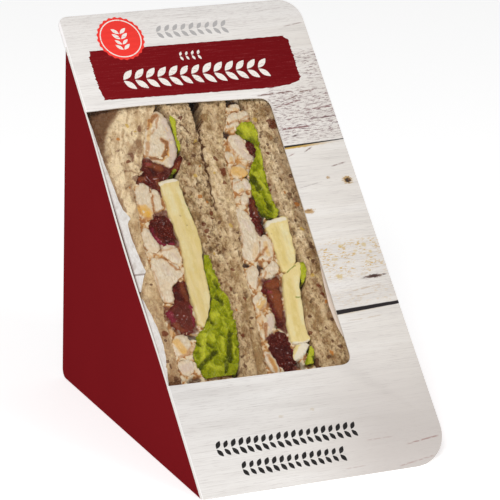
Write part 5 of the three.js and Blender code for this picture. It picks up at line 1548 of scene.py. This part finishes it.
# Soft cheese: straw-yellow paste with pale cut streaks and a white bloomy rind along two sides.
cheese = {
    "paste": (224, 202, 144),
    "pasteDeep": (212, 186, 98),
    "pale": (236, 228, 186),
    "rind": (232, 220, 196),
    "voxel": 0.36,
    "rounds": 0,
    "nearest": 1.35,
    "wobble": 0.3,
    "swell": 0.05,
    "cornerReach": 1.5,
    "corners": {  # across, down and push both ways
        "brie_a": ((20.7, 68.2, -0.8, -0.7), (27.4, 67.3, 0.8, -0.6)),
        "brie_b_upper": ((55.4, 88, -0.4, -0.3), (62.6, 87, 0.9, -0.9)),
        "brie_b_lower": ((51, 133.4, -0.7, 0.7), (57, 133.6, 0.7, 0.7)),
    },
}
cheeseStrokes = {
    "rind": [
        (0.8, 0.8, (20.6, 68.6), (22, 67.9), (27, 67.3)), (0.5, 0.5, (20.8, 70), (21, 73)),
        (0.6, 0.5, (19.6, 116), (19.6, 121), (20.2, 124.6)),
        (0.85, 0.85, (55, 88.8), (56.4, 87.7), (62.4, 87.1)),
        (0.8, 0.8, (51.4, 134.2), (54, 134.8), (57, 134.2)),
        (2.2, 1.0, (51.5, 140), (53.6, 137.6), (55.4, 136.6)),
    ],
    "deep": [
        (0.9, 0.7, (24.8, 72), (25.4, 80), (25.6, 90)), (0.9, 0.5, (24.6, 96), (23.8, 106)),
        (1.3, 0.85, (57.6, 91), (57.4, 98), (57, 104)),
        (1.2, 0.85, (56.6, 111), (55.6, 119), (54.2, 127), (53.6, 131)), (0.7, 0.5, (27.4, 88), (27.2, 96)),
        (0.8, 0.5, (22.4, 110), (21.6, 118)),
    ],
    "pale": [
        (1.3, 0.8, (22.6, 71), (22.8, 80)), (1.2, 0.7, (27, 71), (27.4, 82)),
        (1.4, 0.85, (61, 90), (61, 98), (60.2, 103)), (1.0, 0.8, (59.6, 110), (58.4, 118), (57, 127)),
        (1.2, 0.5, (22.6, 92), (22.4, 102)), (1.0, 0.6, (24.8, 112), (23.4, 118)),
        (0.9, 0.6, (52.4, 124), (52, 131)),
    ],
    "stain": [
        (0.4, 0.8, (24, 81.3), (24.3, 81.6)), (0.4, 0.8, (25.5, 85.3), (25.8, 85.5)),
        (0.35, 0.5, (25.6, 87.6), (26, 90)), (0.3, 0.5, (26.4, 92.4), (26.8, 93)),
        (0.3, 0.5, (26.4, 96.8), (26.8, 97.4)), (0.35, 0.8, (55.7, 92.3), (56, 92.4)),
        (0.5, 0.7, (20.3, 83), (20.6, 90), (20, 95), (20.4, 98)), (0.5, 0.6, (55, 101), (55.2, 106.4)),
        (0.4, 0.5, (60.6, 96.6), (62.6, 95.6)),
    ],
    "green": [
        (0.35, 0.8, (28.2, 76), (28.3, 82)), (0.3, 0.7, (28.6, 93), (28.4, 98)),
        (0.35, 0.8, (57, 107.5), (59, 106.4), (61, 105.3)), (0.4, 0.8, (57.2, 117.4), (59.6, 117.6)),
        (0.5, 0.9, (62.2, 109), (60.8, 116.6)), (0.45, 0.9, (59.6, 119), (58.5, 131)),
        (0.4, 0.5, (62.4, 99), (62.8, 102.5)),
    ],
}


def cheeseFinish():
    f = Finish("softCheese", 0.4, {
        "Specular IOR Level": 0.35, "Subsurface Weight": 0.15, "Subsurface Radius": (1.0, 0.8, 0.35),
        "Subsurface Scale": 0.002,
    })
    drag = f.noise((0.9, 0.13, 0.4), detail=4, roughness=0.6, seed=7)
    fine = f.noise((3.2, 1.4, 2.5), detail=4, roughness=0.65, seed=19)
    rind = f.attribute("rind")
    f.base = f.mix(drag.step(0.4, 0.62), cheese["paste"], (220, 196, 130))
    # painted light: the cheese of the right half is made brighter
    f.lay(f.across.step(40, 50) * 0.35, (244, 222, 150))
    patchy = f.noise((0.7, 0.45, 0.5), detail=4, roughness=0.6, seed=27).step(0.3, 0.62)
    f.lay(f.attribute("deep") * patchy * 0.6, cheese["pasteDeep"])
    f.lay(f.attribute("pale") * (1 - patchy * 0.6) * 0.7, cheese["pale"])
    f.lay((rind + fine * 0.5).step(0.6, 1.1), cheese["rind"])
    f.lay((f.attribute("stain") + fine * 0.5).step(0.7, 1.1) * 0.75, (160, 124, 72))
    f.lay((f.attribute("green") + fine * 0.5).step(0.7, 1.1) * 0.85, (128, 140, 26))
    pit = f.cells((0.5, 0.42, 0.5), seed=11).step(0.07, 0.02)
    f.lay(pit * 0.55, (176, 148, 92))
    f.lay(f.deep.step(5, 9), (228, 220, 198))
    f.colour()
    f.rough(fine * 0.25 + 0.3)
    f.bump(drag * 0.8 + fine * 0.6, 0.25)
    return f.material


def addCheese(name, material):
    points, normals, loops, rim = softShape(name, cheese)
    u, v = points[:, 0].copy(), points[:, 1].copy()
    # the two lengths of the right half meet on a slanting break
    if name == "brie_b_upper":
        points[:, 1] = v + 1.1 * smoothStep(v, 100, 105)
    elif name == "brie_b_lower":
        corner = smoothStep(-v, -114, -106) * smoothStep(u, 56.5, 60)
        points[:, 0] = u + 2.0 * corner
        points[:, 1] = v - 0.5 * smoothStep(-v, -113, -107) - 1.6 * corner
    elif name == "brie_b_rind":
        points[:, 0] = 53.4 + (u - 53.3) * 1.6
        points[:, 1] = 138.4 + (v - 138.6) * 1.3
    # square the corners that the even mesh has rounded
    for across, down, pushU, pushV in cheese["corners"].get(name, ()):
        near = np.exp(-((u - across) ** 2 + (v - down) ** 2) / cheese["cornerReach"] ** 2)
        points[:, :2] += near[:, None] * (pushU, pushV)
    points = points + drift(*(0.24 * layered(noise, points / 2.6 + 3, 2) for noise in (noiseB, noiseC)))
    wave = layered(noiseA, points * (0.3, 0.16, 0.2) + 9, 3)
    drag = noiseB(points * (1.5, 0.16, 0.3))
    nick = noiseC(points * (0.9, 0.7, 0.3))
    shift = cheese["swell"] + 0.28 * wave + 0.07 * drag + 0.14 * rim * nick
    points = points + normals * shift[:, None]
    title = name.replace("brie", "softCheese")
    addSoft(title, points, loops, material, name, cheese, cheeseStrokes, rim)


# Shredded chicken and sauce behind the cut pieces of each half.
bed = {"columns": 56, "nearest": 2.35, "nearestUnderLeaf": 5.2, "back": 7.0}
bedStrokes = {
    # dark: painted shade in the deep holes between the pieces
    "dark": [
        (1.3, 0.9, (27.2, 37.5), (28.6, 41)), (1.5, 0.85, (50.2, 50.6), (51.6, 52)),
        (1.6, 0.9, (54.6, 38.6), (59.4, 40.6)), (1.2, 0.7, (26.8, 38), (25.4, 41)),
        (0.9, 0.9, (53.6, 77.4), (54.2, 85), (53.2, 92)), (0.8, 0.8, (55, 44), (57.6, 43.4)),
        (0.8, 0.9, (42.6, 102.4), (44, 103.2)), (0.5, 0.8, (47.8, 103), (49.6, 105.6)),
        (0.5, 0.8, (47.4, 104), (47.2, 107)), (1.1, 0.7, (14, 126.4), (16.4, 127)),
        (0.8, 0.6, (9.5, 135.2), (10, 135.3)), (1.2, 0.6, (50, 140), (52, 143)),
        (1.0, 0.7, (51.6, 65), (53.6, 70)), (1.0, 0.6, (13.8, 142.4), (9.4, 142.8)),
        (0.8, 0.6, (46.2, 122), (46.8, 127)), (0.8, 0.6, (16.5, 104.4), (14.6, 107.6)),
    ],
    "sauce": [
        (3.4, 0.95, (18, 60), (21, 61), (26, 62.5)), (1.4, 0.85, (13, 66), (17, 68), (19.8, 72)),
        (2.4, 0.85, (26, 64), (31, 60)), (2.4, 0.8, (13.6, 80), (19, 80)), (1.4, 0.8, (20.2, 84), (20, 92)),
        (2.0, 0.75, (11.6, 86), (13, 92)), (2.2, 0.8, (15, 106), (17, 124)),
        (2.4, 0.75, (9, 116), (12, 125)), (1.6, 0.85, (58.6, 55.4), (59.2, 61)),
        (1.2, 0.85, (51.6, 78), (52, 92)), (2.6, 0.85, (48.6, 110), (50, 128)),
        (2.8, 0.9, (44, 131), (48.6, 142)), (1.2, 0.6, (48, 103), (47, 108)),
        (1.6, 0.7, (53, 108), (52, 116)), (1.4, 0.6, (57, 64.6), (58.6, 63)),
    ],
    "golden": [
        (1.6, 0.7, (22.4, 44), (20, 50)), (1.3, 0.7, (50.2, 57), (51.4, 61), (54, 64.6)),
        (1.4, 0.7, (46.8, 66), (47.4, 74)), (1.3, 0.7, (52.6, 93), (54.6, 98)),
        (1.4, 0.6, (8, 124), (12, 127)), (1.3, 0.7, (41.6, 122), (42, 128)),
        (1.4, 0.7, (40, 134), (40.6, 144)), (1.2, 0.5, (14.6, 84), (13, 78)),
        (1.2, 0.6, (54.2, 52), (52, 48)), (1.0, 0.6, (9.4, 83), (11, 84.6)),
        (1.0, 0.6, (12.6, 95.4), (16, 97)),
    ],
}


def bedFinish():
    f = Finish("shreddedFilling", 0.45, {"Specular IOR Level": 0.4})
    shred = f.noise((1.3, 0.8, 1.0), detail=4, roughness=0.65, seed=13)
    cloud = f.noise((0.3, 0.3, 0.3), detail=3, seed=33)
    fine = f.noise((4, 3.5, 4), detail=3, seed=23)
    piece = f.attribute("dome") + (shred - 0.5) * 1.2
    f.base = f.mix(piece.step(-0.05, 0.35), (160, 104, 54), (208, 158, 98))
    f.lay(piece.step(0.25, 0.7), (230, 210, 176))
    f.lay(cloud.step(0.52, 0.66) * 0.5, (202, 144, 74))
    f.lay(f.attribute("golden") * (0.2 + shred * 0.7), (208, 148, 72))
    f.lay((f.attribute("sauce") + shred * 0.5).step(0.6, 1.2), (104, 42, 28))
    # painted shade in the deep holes
    f.lay((f.attribute("dark") + fine * 0.3).step(0.4, 1.0) * 0.9, (40, 22, 14))
    # painted shade in the hollows
    f.lay(f.attribute("pit") * 0.75, (74, 42, 26))
    f.colour()
    f.rough(0.55 - f.attribute("sauce") * 0.35)
    f.bump(shred + fine * 0.5, 0.35)
    return f.material


def addBed(name, material, seed):
    downs = np.concatenate([np.arange(38, 147.8, 0.3), np.arange(148.5, 165, 2.5)])
    points, nodeFaces = nodeShape(name)
    points = raised(points)
    low, high = points[:, 1].min() + 0.3, points[:, 1].max() - 0.3
    downs = downs[(downs > low) & (downs < high)]
    tree = BVHTree.FromPolygons(points.tolist(), nodeFaces)
    count = bed["columns"]
    rows = []
    for down in downs:
        found = scanRow(tree, np.arange(4, 68, 0.4), down, 3.05)
        rows.append((found[0][0] - 0.2, found[-1][0] + 0.2) if found else (np.nan, np.nan))
    left, right = np.array(rows).T
    keep = ~np.isnan(left)
    downs, left, right = downs[keep], smoothed(left[keep], 3), smoothed(right[keep], 3)
    share = np.linspace(0, 1, count)
    across = left[:, None] + (right - left)[:, None] * share
    grid = gridOf(across, downs, 3.0)
    leaves = [nodeTree(leaf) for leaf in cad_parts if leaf.startswith("lettuce")]
    under = [any(scanRow(leaf, [u], v, -5) for leaf in leaves) for u, v, _ in grid]
    lump = layered(noiseA, grid / 2.4 + seed, 3, 0.55)
    marks = strokeMarks(grid, bedStrokes, 0.6)
    rim = smoothStep(np.tile(np.minimum(share, 1 - share), len(downs)), 0, 0.07)
    warp = grid + 0.8 * drift(noiseA(grid / 1.5), noiseC(grid / 1.5))
    dome = pores(warp, 2.3, 5 + seed, 0.9, 0.9, 1.5, 1.3, 25)
    dome = np.maximum(dome, 0.7 * pores(warp, 1.2, seed, 0.9, 0.4, 0.8, 1, 0))
    # the dark strokes are sunk as well as painted dark as shade
    depth = 0.25 - 0.7 * dome - 0.3 * lump + 1.4 * marks["dark"] + 0.25 * marks["sauce"]
    marks["dome"] = dome
    grid[:, 2] += depth + (1 - rim) * 0.5
    grid[:, 2] = np.maximum(grid[:, 2], np.where(under, bed["nearestUnderLeaf"], bed["nearest"]))
    # the deeper hollows, which the material paints dark as shade
    marks["pit"] = smoothStep(depth, 0.35, 1.1)
    face = grid.reshape(len(downs), count, 3)
    rings = []
    for down, row in zip(downs, face):
        sides = [[(row[k, 0], down, bed["back"])] for k in (0, -1)]
        rings.append(np.vstack([sides[0], row, sides[1]]))
    points, faces = skinOf(rings)
    full = overRings(marks, len(downs), np.r_[0, :count, count - 1])
    title = name.replace("filling", "shreddedFilling")
    addPiece(title, points, faces, material, (name,), marks=full)


chickenMaterial = chickenFinish()
cranberryMaterial = cranberryFinish()
cheeseMaterial = cheeseFinish()
for name in sorted(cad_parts):
    if name.startswith("chicken"):
        addChicken(name, chickenMaterial)
    elif name.startswith("cranberry"):
        addCranberry(name, cranberryMaterial)
    elif name.startswith("brie"):
        addCheese(name, cheeseMaterial)
bedMaterial = bedFinish()
addBed("filling_a", bedMaterial, 3)
addBed("filling_b", bedMaterial, 8)
print("chicken, cranberry, cheese and filling laid in")


# Lettuce: thin ruffled leaves, painted bright where they catch the light and painted olive as shade in their
# folds.
lettuce = {
    "leaf": (124, 132, 2),
    "highlight": (206, 206, 62),
    # colour of the painted shade in the folds
    "fold": (58, 62, 2),
    "rib": (206, 212, 110),
    "thick": 0.28,
    "nearest": 1.3,
    "deepest": 4.4,
}
lettuceStrokes = {
    # painted highlights on the leaf
    "highlight": [
        (0.8, 0.9, (16.6, 136), (18.2, 131.4), (20.2, 126.6)), (0.9, 0.8, (24, 121), (27, 119.4)),
        (0.7, 0.7, (28.4, 121), (28.6, 124)), (0.8, 0.8, (22.4, 126), (22.8, 129)),
        (1.0, 0.7, (19, 138), (22, 139.4)), (0.7, 0.7, (26, 128), (25.2, 133)),
        (0.8, 0.6, (29, 103), (29.4, 109)), (2.6, 0.85, (58, 50), (61, 52.4)),
        (0.7, 0.8, (60.8, 57), (61, 64.6)), (0.8, 0.8, (59.4, 68), (59.6, 78)),
        (0.8, 0.7, (57.4, 68), (58, 73)), (0.8, 0.7, (60.2, 82), (60.2, 86)),
        (1.6, 0.8, (32.4, 43), (32.2, 56)), (1.4, 0.8, (63.4, 106), (62.2, 111)),
        (1.0, 0.95, (56.8, 137), (55, 142)), (0.6, 0.6, (30.6, 116), (31, 121)),
        (0.6, 0.6, (29.4, 131.4), (28.6, 136)),
    ],
    # painted shade in the folds
    "fold": [
        (0.7, 0.9, (14.6, 139), (17, 136.4), (20, 134.8), (22, 133.4)),
        (0.8, 0.9, (26.6, 137), (27.6, 132.5), (29.6, 127)), (0.6, 0.8, (23.6, 141), (25, 137.4)),
        (0.6, 0.7, (15.8, 128.8), (17.6, 130.4)), (0.8, 0.8, (28.4, 113), (30, 116)),
        (0.7, 0.8, (23, 118), (24.2, 122.4)), (0.5, 0.6, (20.6, 129.6), (22, 131.6)),
        (1.5, 0.8, (53, 51.4), (56, 51.2)), (0.9, 0.7, (59.8, 54.6), (60.8, 57)),
        (1.2, 0.95, (55.6, 70), (57, 74)), (1.4, 0.95, (54.8, 84.6), (57.6, 86.8)),
        (0.6, 0.7, (58, 78.6), (59, 82)), (0.5, 0.5, (60.2, 72), (60, 76)),
        (0.9, 0.9, (57, 141), (57.6, 143.4)), (0.5, 0.5, (29.4, 107), (30.2, 110)),
    ],
}


def lettuceFinish():
    f = Finish("lettuceLeaf", 0.35, {
        "Specular IOR Level": 0.05, "Subsurface Weight": 0.12, "Subsurface Radius": (0.5, 0.8, 0.1),
        "Subsurface Scale": 0.0012,
    })
    cloud = f.noise((0.5, 0.4, 0.4), detail=4, roughness=0.6, seed=2)
    crinkle = f.noise((2.6, 2.2, 1.6), detail=4, roughness=0.65, seed=14)
    streak = f.noise((0.8, 0.3, 0.5), detail=4, roughness=0.66, seed=52, shift=f.down * 0.62 + crinkle * 0.5)
    vein = streak.step(0.6, 0.66)
    f.base = f.mix(cloud.step(0.36, 0.66), lettuce["leaf"], (156, 158, 14))
    f.lay(streak.step(0.5, 0.62) * 0.4, (184, 188, 44))
    f.lay(streak.step(0.46, 0.36) * 0.5, (84, 92, 2))
    # painted highlights on the crests and along the bright strokes
    f.lay(f.attribute("litCrest") * (0.1 + crinkle * 0.6), lettuce["highlight"])
    f.lay(f.attribute("highlight") * (0.25 + crinkle * 0.7), lettuce["highlight"])
    # painted shade in the valleys and folds of the leaf
    f.lay(f.attribute("shadedValley") * 0.5, lettuce["fold"])
    f.lay(f.attribute("fold") * (0.5 + crinkle * 0.6), lettuce["fold"])
    f.lay(vein * 0.35, lettuce["rib"])
    f.colour()
    f.rough(crinkle * 0.25 + 0.2)
    f.bump(crinkle + vein * 0.5, 0.3)
    return f.material


def addLeaf(name, material, ruffle, grow=0.35, lean=-35, seed=0):
    points, nodeFaces = nodeShape(name)
    points = raised(points)
    tree = BVHTree.FromPolygons(points.tolist(), nodeFaces)
    low, high = points.min(axis=0), points.max(axis=0)
    downs = np.arange(low[1] + 0.1, high[1] - 0.05, 0.28)
    scan = np.arange(low[0] - 0.2, high[0] + 0.2, 0.2)
    rows, base = [], []
    for down in downs:
        hits = scanRow(tree, scan, down, -5)
        rows.append((hits[0][0], hits[-1][0]) if hits else (np.nan, np.nan))
        base.append(np.median([z for _, z in hits]) if hits else np.nan)
    left, right = np.array(rows).T
    keep = ~np.isnan(left)
    downs, base = downs[keep], smoothed(np.array(base)[keep], 4)
    left, right = smoothed(left[keep], 2.5) - grow * 0.7, smoothed(right[keep], 2.5) + grow * 0.7
    count = int(max(12, (right - left).max() / 0.26))
    share = np.linspace(0, 1, count)
    edge = drift(0 * downs + seed, downs / 1.3)
    frillLeft, frillRight = (0.8 * grow * layered(noise, edge, 3) for noise in (noiseA, noiseB))
    across = (left + frillLeft)[:, None] + (right - left + frillRight - frillLeft)[:, None] * share
    grid = gridOf(across, downs)
    shares = np.tile(share, len(downs))
    warp = grid + 0.9 * drift(noiseA(grid / 2.6 + seed), noiseB(grid / 2.6 + seed))
    wide = noiseC(leaning(warp, 2.0, lean) / 3.1 + seed)
    ridge = 1 - np.abs(noiseA(leaning(warp, 1.8, lean + 12) / 2.0 + 5 + seed)) * 2.6
    curl = noiseB(warp / 1.05 + seed)
    rim = smoothStep(np.minimum(shares, 1 - shares), 0.16, 0)
    height = 0.75 * wide + 0.46 * ridge + 0.2 * curl + 0.5 * rim * noiseA(grid / 0.8 + seed)
    height = height - 0.8 * painted(grid, lettuceStrokes["fold"], 0.9)
    height = height + 0.3 * painted(grid, lettuceStrokes["highlight"], 0.6)
    deep = np.repeat(np.minimum(base, 2.6), count) + 0.5 - ruffle * height
    grid[:, 2] = np.clip(deep, lettuce["nearest"], lettuce["deepest"])
    marks = {"litCrest": smoothStep(height, 0.25, 0.9), "shadedValley": smoothStep(-height, -0.05, 0.75)}
    marks.update(strokeMarks(grid, lettuceStrokes, 0.9))
    face = grid.reshape(len(downs), count, 3)
    thick = lettuce["thick"]
    back = min(high[2], 12.0)
    rings = []
    for i in range(len(downs)):
        # the leaf turns back into the sandwich at its right edge
        last = face[i, -1]
        turned = [(last[0] + 0.02, last[1], last[2] + (back - last[2]) * t) for t in (0.15, 0.5, 1)]
        behind = [(u - thick, v, d) for u, v, d in turned[::-1]]
        far = face[i] + (0, 0, thick)
        far[-1] = (last[0] - thick, last[1], last[2] + thick)
        rings.append(np.vstack([face[i], turned, behind, far[::-1]]))
    points, faces = skinOf(rings)
    full = overRings(marks, len(downs), np.r_[:count, [count - 1] * 6, count - 1:-1:-1])
    addPiece(name.replace("lettuce", "lettuceLeaf"), points, faces, material, (name,), marks=full)


lettuceMaterial = lettuceFinish()
addLeaf("lettuce_a", lettuceMaterial, 1.15, 0.55, seed=2)
addLeaf("lettuce_b", lettuceMaterial, 1.05, 0.5, seed=6, lean=-20)
for k, name in enumerate(("lettuce_a_top", "lettuce_b_side", "lettuce_b_foot")):
    addLeaf(name, lettuceMaterial, 0.6, grow=0.3, lean=10, seed=11 + 4 * k)
print("lettuce ruffled")


# The clear film behind the window, and the torn pale lining that shows beside the left wall.
film = {"front": 0.85, "thick": 0.06, "clear": 0.018, "lap": 6}


def addFilm():
    f = Finish("clearFilm", 0.06, {"Base Color": (0.15, 0.15, 0.15, 1), "Alpha": film["clear"]})
    f.bump(f.noise((0.12, 0.08, 0), detail=3, seed=3), 0.5)
    across = np.linspace(1.0, pack["width"] - 1.0, 48)
    downs = np.linspace(window["top"] - film["lap"], window["bottom"] + film["lap"] + window["drop"], 80)
    u, v = np.meshgrid(across, downs)
    flat = drift(u.ravel(), v.ravel())
    wave = 0.1 * layered(noiseA, flat * (0.07, 0.05, 0) + 4, 2)
    face = np.column_stack([flat[:, :2], film["front"] + wave]).reshape(u.shape + (3,))
    points, faces = sheetOver(face, film["thick"])
    addPiece("windowFilm", points, faces, f.material, ("window_film",), sharp=60)


def addLining(name, material, seed):
    tree = nodeTree(name)
    points, _ = nodeShape(name)
    low, high = points[:, 1].min() + 0.05, points[:, 1].max() - 0.05
    downs = np.arange(low, high, 0.35)
    right = []
    for down in downs:
        hit = tree.ray_cast(Vector((20, down, 1.6)), Vector((-1, 0, 0)))[0]
        right.append(hit.x if hit is not None else 1.6)
    right = np.array(right)
    share = np.linspace(0, 1, 18)
    start = 0.95
    across = start + (right - start)[:, None] * share
    grid = gridOf(across, downs)
    shadedCrease = noiseA(leaning(grid, 2.5, 60) / 2.2 + seed)
    shadedCrease = shadedCrease + 0.6 * (1 - 2 * np.abs(noiseB(grid / (3.0, 5.0, 1) + seed)))
    shares = np.tile(share, len(downs))
    grid[:, 2] = 1.55 + 0.3 * shadedCrease * shares + 0.25 * shares**3
    grid[:, 2] = np.clip(grid[:, 2], 1.15, 2.3)
    # the creases are also painted grey as shade
    marks = {"shadedCrease": smoothStep(shadedCrease, -0.9, 0.9), "edge": smoothStep(shares, 0.82, 1)}
    face = grid.reshape(len(downs), len(share), 3)
    points, faces = sheetOver(face, 0.22)
    full = overRings(marks, len(downs), np.r_[:len(share), len(share) - 1:-1:-1])
    addPiece(name.replace("lining", "tornLining"), points, faces, material, (name,), marks=full)


def addBareEdge(material):
    # low on the right the slice draws back, and the pale board of the side shows beside it
    edge = [(70.5, 103.5), (69.9, 105.5), (69.4, 108.5), (68.9, 112.5), (68.5, 117), (68, 122.5)]
    edge += [(68.3, 127.5), (68.7, 131.5), (69.4, 134.5), (70.5, 136)]
    right = pack["width"] - pack["board"] - 0.02
    outline = edge + [(right, 136), (right, 103.5)]
    points, faces = cardSheet(outline, 1.2, 1.45, 0.05)
    marks = {"shadedCrease": np.full(len(points), 1.0), "edge": np.zeros(len(points))}
    addPiece("bareEdge", points, faces, material, marks=marks)


def liningFinish():
    f = Finish("liningPaper", 0.6)
    fibre = f.noise((1.4, 0.7, 1.0), detail=4, roughness=0.6, seed=3)
    f.base = f.mix(fibre.step(0.35, 0.7), (224, 218, 212), (240, 236, 232))
    # painted shade in the creases of the paper
    f.lay(f.attribute("shadedCrease").step(0.45, 0.1) * 0.5, (190, 178, 166))
    f.lay(f.attribute("edge") * 0.6, (248, 244, 240))
    f.lay((f.down - 102).size().step(0.5, 0.15) * 0.7, (120, 96, 84))
    # painted shadow in the slit between the left wall and the lining
    f.lay(f.across.step(1.6, 1.1) * 0.6, (110, 60, 58))
    # the bare board at the right painted a darker beige, as shade
    f.lay(f.across.step(60, 64), f.mix(fibre, (236, 220, 204), (226, 206, 190)))
    f.colour()
    f.bump(fibre, 0.15)
    return f.material


addFilm()
liningMaterial = liningFinish()
addLining("lining_upper", liningMaterial, 3)
addLining("lining_lower", liningMaterial, 9)
addBareEdge(liningMaterial)
print("film and lining in place")
